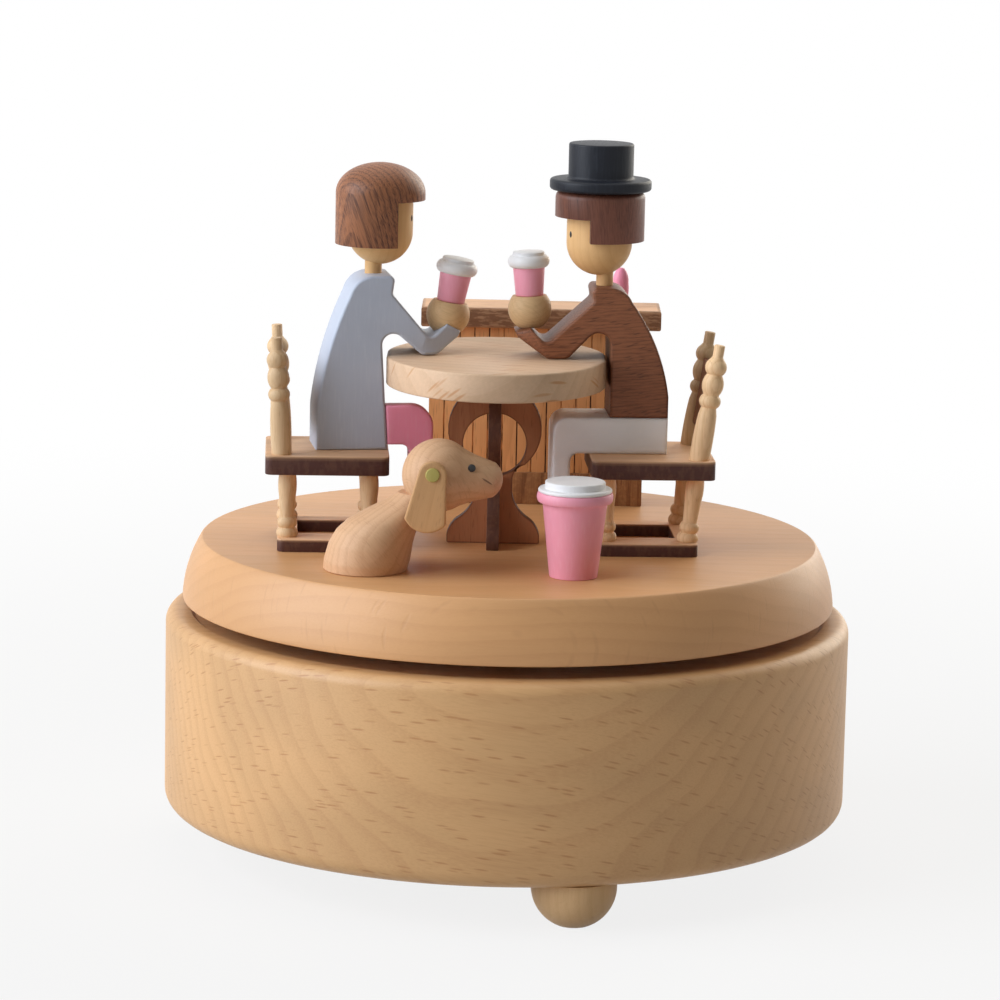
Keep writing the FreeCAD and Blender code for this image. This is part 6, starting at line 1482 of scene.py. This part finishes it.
@dataclass
class Cafe:
    """The two figures with their hair, hat and legs.

    Attributes:
        hair: Outer radius of the hair.
        bore: Radius that the hair is bored to for the head.
        woman_hair: Lower edge, bore's top and dome's start of the woman's hair.
        man_hair: Lower edge, bore's top and top of the man's hair.
    """

    hair: float = 7.1
    bore: float = 5.3
    woman_hair: tuple[float, float, float] = (32.3, 41.7, 40.4)
    man_hair: tuple[float, float, float] = (27.8, 34.8, 35.7)
    woman: Figure = field(default_factory=lambda: Figure(
        name="woman", facing=1, x=-22.4, y=-3.4, turn=9.0, base=SEAT_TOP,
        outline=[(-9.3, 0.0), (2.1, 0.0), (0.8, 20.8), (7.4, 15.15), (9.9, 15.15), (13.4, 17.9), (13.7, 18.7),
                 (11.5, 19.9), (8.7, 17.6), (2.6, 24.8), (3.0, 27.7), (-3.4, 27.7), (-9.3, 6.4, 60.0, 1)],
        rounds={2: 1.9, 3: 1.6, 4: 1.6, 8: 1.2, 9: 0.8, 10: 0.8, 11: 4.0},
        fold=7.9, tip=13.7, shoulder=27.7, chin=29.1, hand_reach=12.1, hand=21.0, cup_lean=9.6, eye=7.5,
        hair=HAIR_WALNUT, finish=GREY_PAINT))
    man: Figure = field(default_factory=lambda: Figure(
        name="man", facing=-1, x=14.3, y=-2.6, turn=4.0, base=SEAT_TOP + THIGH,
        outline=[(-10.2, 0.0), (-0.95, 0.0), (-0.7, 16.2), (6.0, 9.3), (9.2, 9.3), (13.8, 12.5), (14.1, 13.3),
                 (11.8, 13.9), (9.3, 11.6), (1.95, 18.4), (2.35, 20.6), (-3.2, 20.6), (-10.2, 3.4, 32.0, 1)],
        rounds={2: 2.2, 3: 1.6, 4: 1.6, 8: 1.2, 9: 0.8, 10: 0.8, 11: 3.5},
        fold=10.4, tip=14.1, shoulder=20.6, chin=22.2, hand_reach=11.8, hand=16.65, cup_lean=-2.5, eye=6.6,
        hair=DARK_HAIR, finish=WALNUT))

    def build(self) -> None:
        """Make both figures and what they wear."""
        self.woman.build()
        self.man.build()
        self.make_hair()
        self.make_hat()
        self.make_legs()

    def make_hair(self) -> None:
        """Hair bored for the heads: the woman's has a domed top, the man's a flat one."""
        low, bored, start = self.woman_hair
        t = np.linspace(0, np.pi / 2, 20)
        dome = np.stack([self.hair * np.cos(t), start + 4.8 * np.sin(t)], axis=1)
        self.woman.cap([(0.0, bored), (self.bore, bored), (self.bore, low), (self.hair, low), *dome],
                       low, 39.4)
        low, bored, top = self.man_hair
        self.man.cap([(0.0, bored), (self.bore, bored), (self.bore, low), (self.hair, low),
                      (self.hair, 34.5), (5.9, top, 1.2, 1), (0.0, top)], low, 31.5)

    def make_hat(self) -> None:
        """Black top hat with a flat brim."""
        hat = lathe([
            (0.0, 0.0), (7.55, 0.0), (8.05, 0.5, 0.5, 1), (8.05, 1.3), (7.55, 1.8, 0.5, 1), (5.65, 1.8),
            (5.15, 2.3, 0.5, -1), (5.15, 7.1), (4.85, 7.4, 0.3, 1), (0.0, 7.4)], 6, 96)
        make_piece("man_hat_turned", self.man.stand(hat.moved(self.man.head_ahead, 0.0, self.man_hair[2])),
                   BLACK_PAINT, "man_hat")

    def make_legs(self) -> None:
        """Pink leg board flush with the near face of the woman's body, and a white one under the man's."""
        slope = (2.1 - 0.8) / 20.8
        corners = [(2.15 - slope * 0.8, 0.8), (5.6, 0.8), (5.6, -11.3), (9.4, -11.3), (9.4, 7.15),
                   (2.15 - slope * 7.15, 7.15)]
        legs = board(trace(round_some(corners, {1: 1.3, 4: 3.4}), 8), 2.0, 5.0, 0.4)
        make_piece("woman_legs_board", self.woman.stand(legs), PINK_PAINT, "woman_legs")
        corners = [(-10.2, 0.0), (5.2, 0.0), (5.2, -11.3), (8.0, -11.3), (8.0, THIGH), (-10.2, THIGH)]
        legs = board(trace(round_some(corners, {1: 1.3, 4: 2.4}), 8), -5.0, 5.0, 0.45)
        make_piece("man_legs_board", self.man.stand(legs, -THIGH), WHITE_PAINT, "man_legs")


@dataclass
class DeckCup:
    """Takeaway cup that stands on the deck."""

    x: float = 10.0
    y: float = -31.0

    def build(self) -> None:
        """Make the cup with its rolled collar, and the stepped lid."""
        cup = lathe([(0.0, 0.0), (3.7, 0.0), (5.0, 11.7), (5.67, 11.7), (5.67, 13.2, bow(0.75, 0.2), 1),
                     (0.0, 13.2)], 8, 80, 0.2)
        lid = lathe([(0.0, 13.2), (5.5, 13.2), (5.5, 13.8, bow(0.3, 0.2), 1), (4.65, 13.8), (4.65, 14.65),
                     (4.4, 14.9, 0.25, 1), (0.0, 14.9)], 6, 80, 0.2)
        for name, part, finish in (("takeaway_cup", cup, CUP_PINK), ("takeaway_cup_lid", lid, LID_WHITE)):
            make_piece(name + "_turned", part.moved(self.x, self.y, DECK), finish, name)


@dataclass
class Counter:
    """Counter at the back, with plank lines and a small peg."""

    x: float = 4.1
    y: float = 30.2
    half: float = 18.0
    depth: float = 9.0
    plinth: float = 5.4
    panel_depth: float = 8.6
    panel_inset: float = 0.4
    panel_top: float = 29.9
    top_half: float = 20.0
    top_depth: float = 11.4
    top: float = 33.25
    pitch: float = 2.45
    groove: float = 0.26
    groove_depth: float = 0.16

    def build(self) -> None:
        """Make plinth, panel, top and peg."""
        half = self.half
        plinth = board(box_outline(-half, half, 0.0, self.depth), 0.0, self.plinth, 0.15, Way.FLAT, rim=0.3)
        make_piece("counter_plinth_board", plinth.moved(self.x, self.y, DECK), PLINTH_WOOD, "counter_plinth")
        self.make_panel()
        top = board(box_outline(-self.top_half, self.top_half, 0.0, self.top_depth), DECK + self.panel_top,
                    DECK + self.top, 0.4, Way.FLAT, rim=0.3)
        make_piece("counter_top_board", top.moved(self.x + 0.5, self.y - 1.2, 0.0), COUNTER_TOP,
                   "counter_top")
        peg = lathe([(0.0, 0.0), (0.75, 0.0), (1.3, 4.2, 8.0, 1), (0.6, 6.52, 3.35, 1),
                     (0.0, 6.7, bow(0.6, 0.18), 1)], 10, 40)
        make_piece("counter_peg_turned", peg.moved(17.8, self.y + self.top_depth * 0.3, DECK + self.top),
                   PINK_PAINT, "counter_peg")

    def make_panel(self) -> None:
        """The panel, whose front is notched at even steps and burnt in the notches."""
        half, deep = self.half, self.groove_depth
        starts = -half + self.pitch * np.arange(1, int(2 * half / self.pitch))
        steps = np.array([(0.0, 0.0), (0.04, deep), (self.groove - 0.04, deep), (self.groove, 0.0)])
        notches = (np.stack([starts, np.zeros_like(starts)], axis=1)[:, None, :] + steps[None]).reshape(-1, 2)
        outline = np.vstack([[(-half, 0.0)], notches, [(half, 0.0), (half, self.panel_depth),
                                                       (-half, self.panel_depth)]])
        panel = board(outline, DECK + self.plinth, DECK + self.panel_top, 0.02, Way.FLAT, rim=0.02)
        panel.burn = np.where((panel.points[:, 1] > 0.03) & (panel.points[:, 1] < 1.0), 1.0, 0.0)
        make_piece("counter_panel_board", panel.moved(self.x, self.y + self.panel_inset, 0.0), COUNTER_WOOD,
                   "counter_panel")


@dataclass
class Dog:
    """Sitting wooden dog with flat ears on a dowel.

    Attributes:
        y: Middle of the dog along.
        body_steps: Points round the body.
        head_x: Middle of the head's ball across.
        head_z: Its height.
        head: Radius of that ball.
        cheek: Radius where the muzzle leaves it.
        muzzle: Radius of the muzzle.
        rise: Shares of the body's height at which its form is given.
        shift: Share that the body has moved forwards at each.
        swell: Share of its fullness at each.
    """

    y: float = -28.3
    body_steps: int = 72
    head_x: float = -11.0
    head_z: float = DECK + 14.9
    head: float = 5.65
    cheek: float = 4.55
    muzzle: float = 2.7
    rise: Sequence[float] = (0.0, 0.012, 0.12, 0.34, 0.5, 0.64, 0.78, 0.9, 1.0)
    shift: Sequence[float] = (0.0, 0.0, 0.03, 0.10, 0.2, 0.36, 0.62, 0.85, 1.0)
    swell: Sequence[float] = (0.94, 1.0, 1.05, 1.0, 0.9, 0.74, 0.46, 0.16, 0.0)

    def build(self) -> None:
        """Make body, head, ears and dowel."""
        self.make_body()
        self.make_head()
        self.make_ears()

    def make_body(self) -> None:
        """Body as ovals stacked up and forwards: half length, half depth and middle follow the height."""
        t = np.concatenate([self.rise[:2], np.linspace(0.02, 1.0, 40)])
        middle = -22.1 + 8.1 * np.interp(t, self.rise, self.shift)
        half = 3.2 + 3.3 * np.interp(t, self.rise, self.swell)
        depth = 3.2 + 3.8 * np.interp(t, self.rise, self.swell)
        columns = self.body_steps
        angles = 2 * np.pi * np.arange(columns) / columns
        x = middle[:, None] + half[:, None] * np.cos(angles)
        y = self.y + depth[:, None] * np.sin(angles)
        z = np.repeat(DECK + 12.2 * t[:, None], columns, axis=1)
        points = np.stack([x, y, z], axis=2).reshape(-1, 3)
        faces = grid_faces(len(t), columns)
        faces.append(tuple(range(columns))[::-1])
        faces.append(tuple(range(len(points) - columns, len(points))))
        make_piece("dog_body_carved", Shape(points, faces, np.zeros(len(points))), DOG_WOOD, "dog_body")

    def make_head(self) -> None:
        """Head turned about the line of the muzzle, with drilled eyes."""
        meet = math.sqrt(self.head ** 2 - self.cheek ** 2)
        head = lathe([(0.0, -self.head), (self.head, 0.0, self.head, 1), (self.cheek, meet, self.head, 1),
                      (3.45, 6.0, 14.0, -1), (self.muzzle, 8.5), (0.0, 9.9, bow(self.muzzle, 1.4), 1)],
                     14, 72, 1.0, 4)
        head = head.turned("Y", 94.0).moved(self.head_x, self.y, self.head_z)
        make_piece("dog_head_turned", head, DOG_WOOD, "dog_head")
        dot = lathe([(0.0, -0.2), (0.6, -0.2), (0.6, 0.1), (0.0, 0.25, 1.2, 1)], 5, 24)
        x, z = self.head_x + 5.1, self.head_z + 1.75
        eyes = [dot.turned("X", 90.0 * side).moved(x, self.y - side * 3.45, z) for side in (1, -1)]
        make_piece("dog_eyes", joined(eyes), EYE_BLACK)

    def make_ears(self) -> None:
        """Two ear boards and the dowel that holds them."""
        outline = trace([(-3.2, -7.34), (0.0, -9.1, 3.776, 1), (3.2, -7.34, 3.776, 1), (2.2, -0.2),
                         (0.0, 2.0, 2.2, 1), (-2.2, -0.2, 2.2, 1)], 8)
        ear = board(outline, -0.75, 0.75, 0.3, rim=0.4).turned("Y", 8.0)
        x, z = self.head_x - 0.8, self.head_z + 1.2
        ears = [ear.moved(x, self.y + side * 6.5, z) for side in (-1, 1)]
        make_piece("dog_ears_cut", joined(ears), EAR_WOOD, "dog_ears")
        pin = lathe([(0.0, -7.5), (1.1, -7.5), (1.1, 7.5), (0.0, 7.5)], segments=32, soft=0.2)
        make_piece("dog_ear_dowel", pin.turned("X", 90.0).moved(x, self.y, z), GREEN_DOWEL, "dog_ear_pin")


def main() -> None:
    """Build the studio and every sub-assembly, in order."""
    logging.basicConfig(level=logging.INFO, format="%(name)s %(message)s")
    bpy.context.scene.view_settings.view_transform = "Standard"
    parts = [
        Studio(), Base(), Platform(), Table(),
        Chair("left", -1, x=-29.0, y=-5.9, shift=0.25, lean=3.1, leg_lean=0.0),
        Chair("right", 1, x=21.35, y=-4.0, shift=0.75, lean=8.6, leg_lean=6.5),
        Cafe(), DeckCup(), Counter(), Dog(),
    ]
    for part in parts:
        LOG.info("building %s", type(part).__name__)
        part.build()


if __name__ == "__main__":
    main()
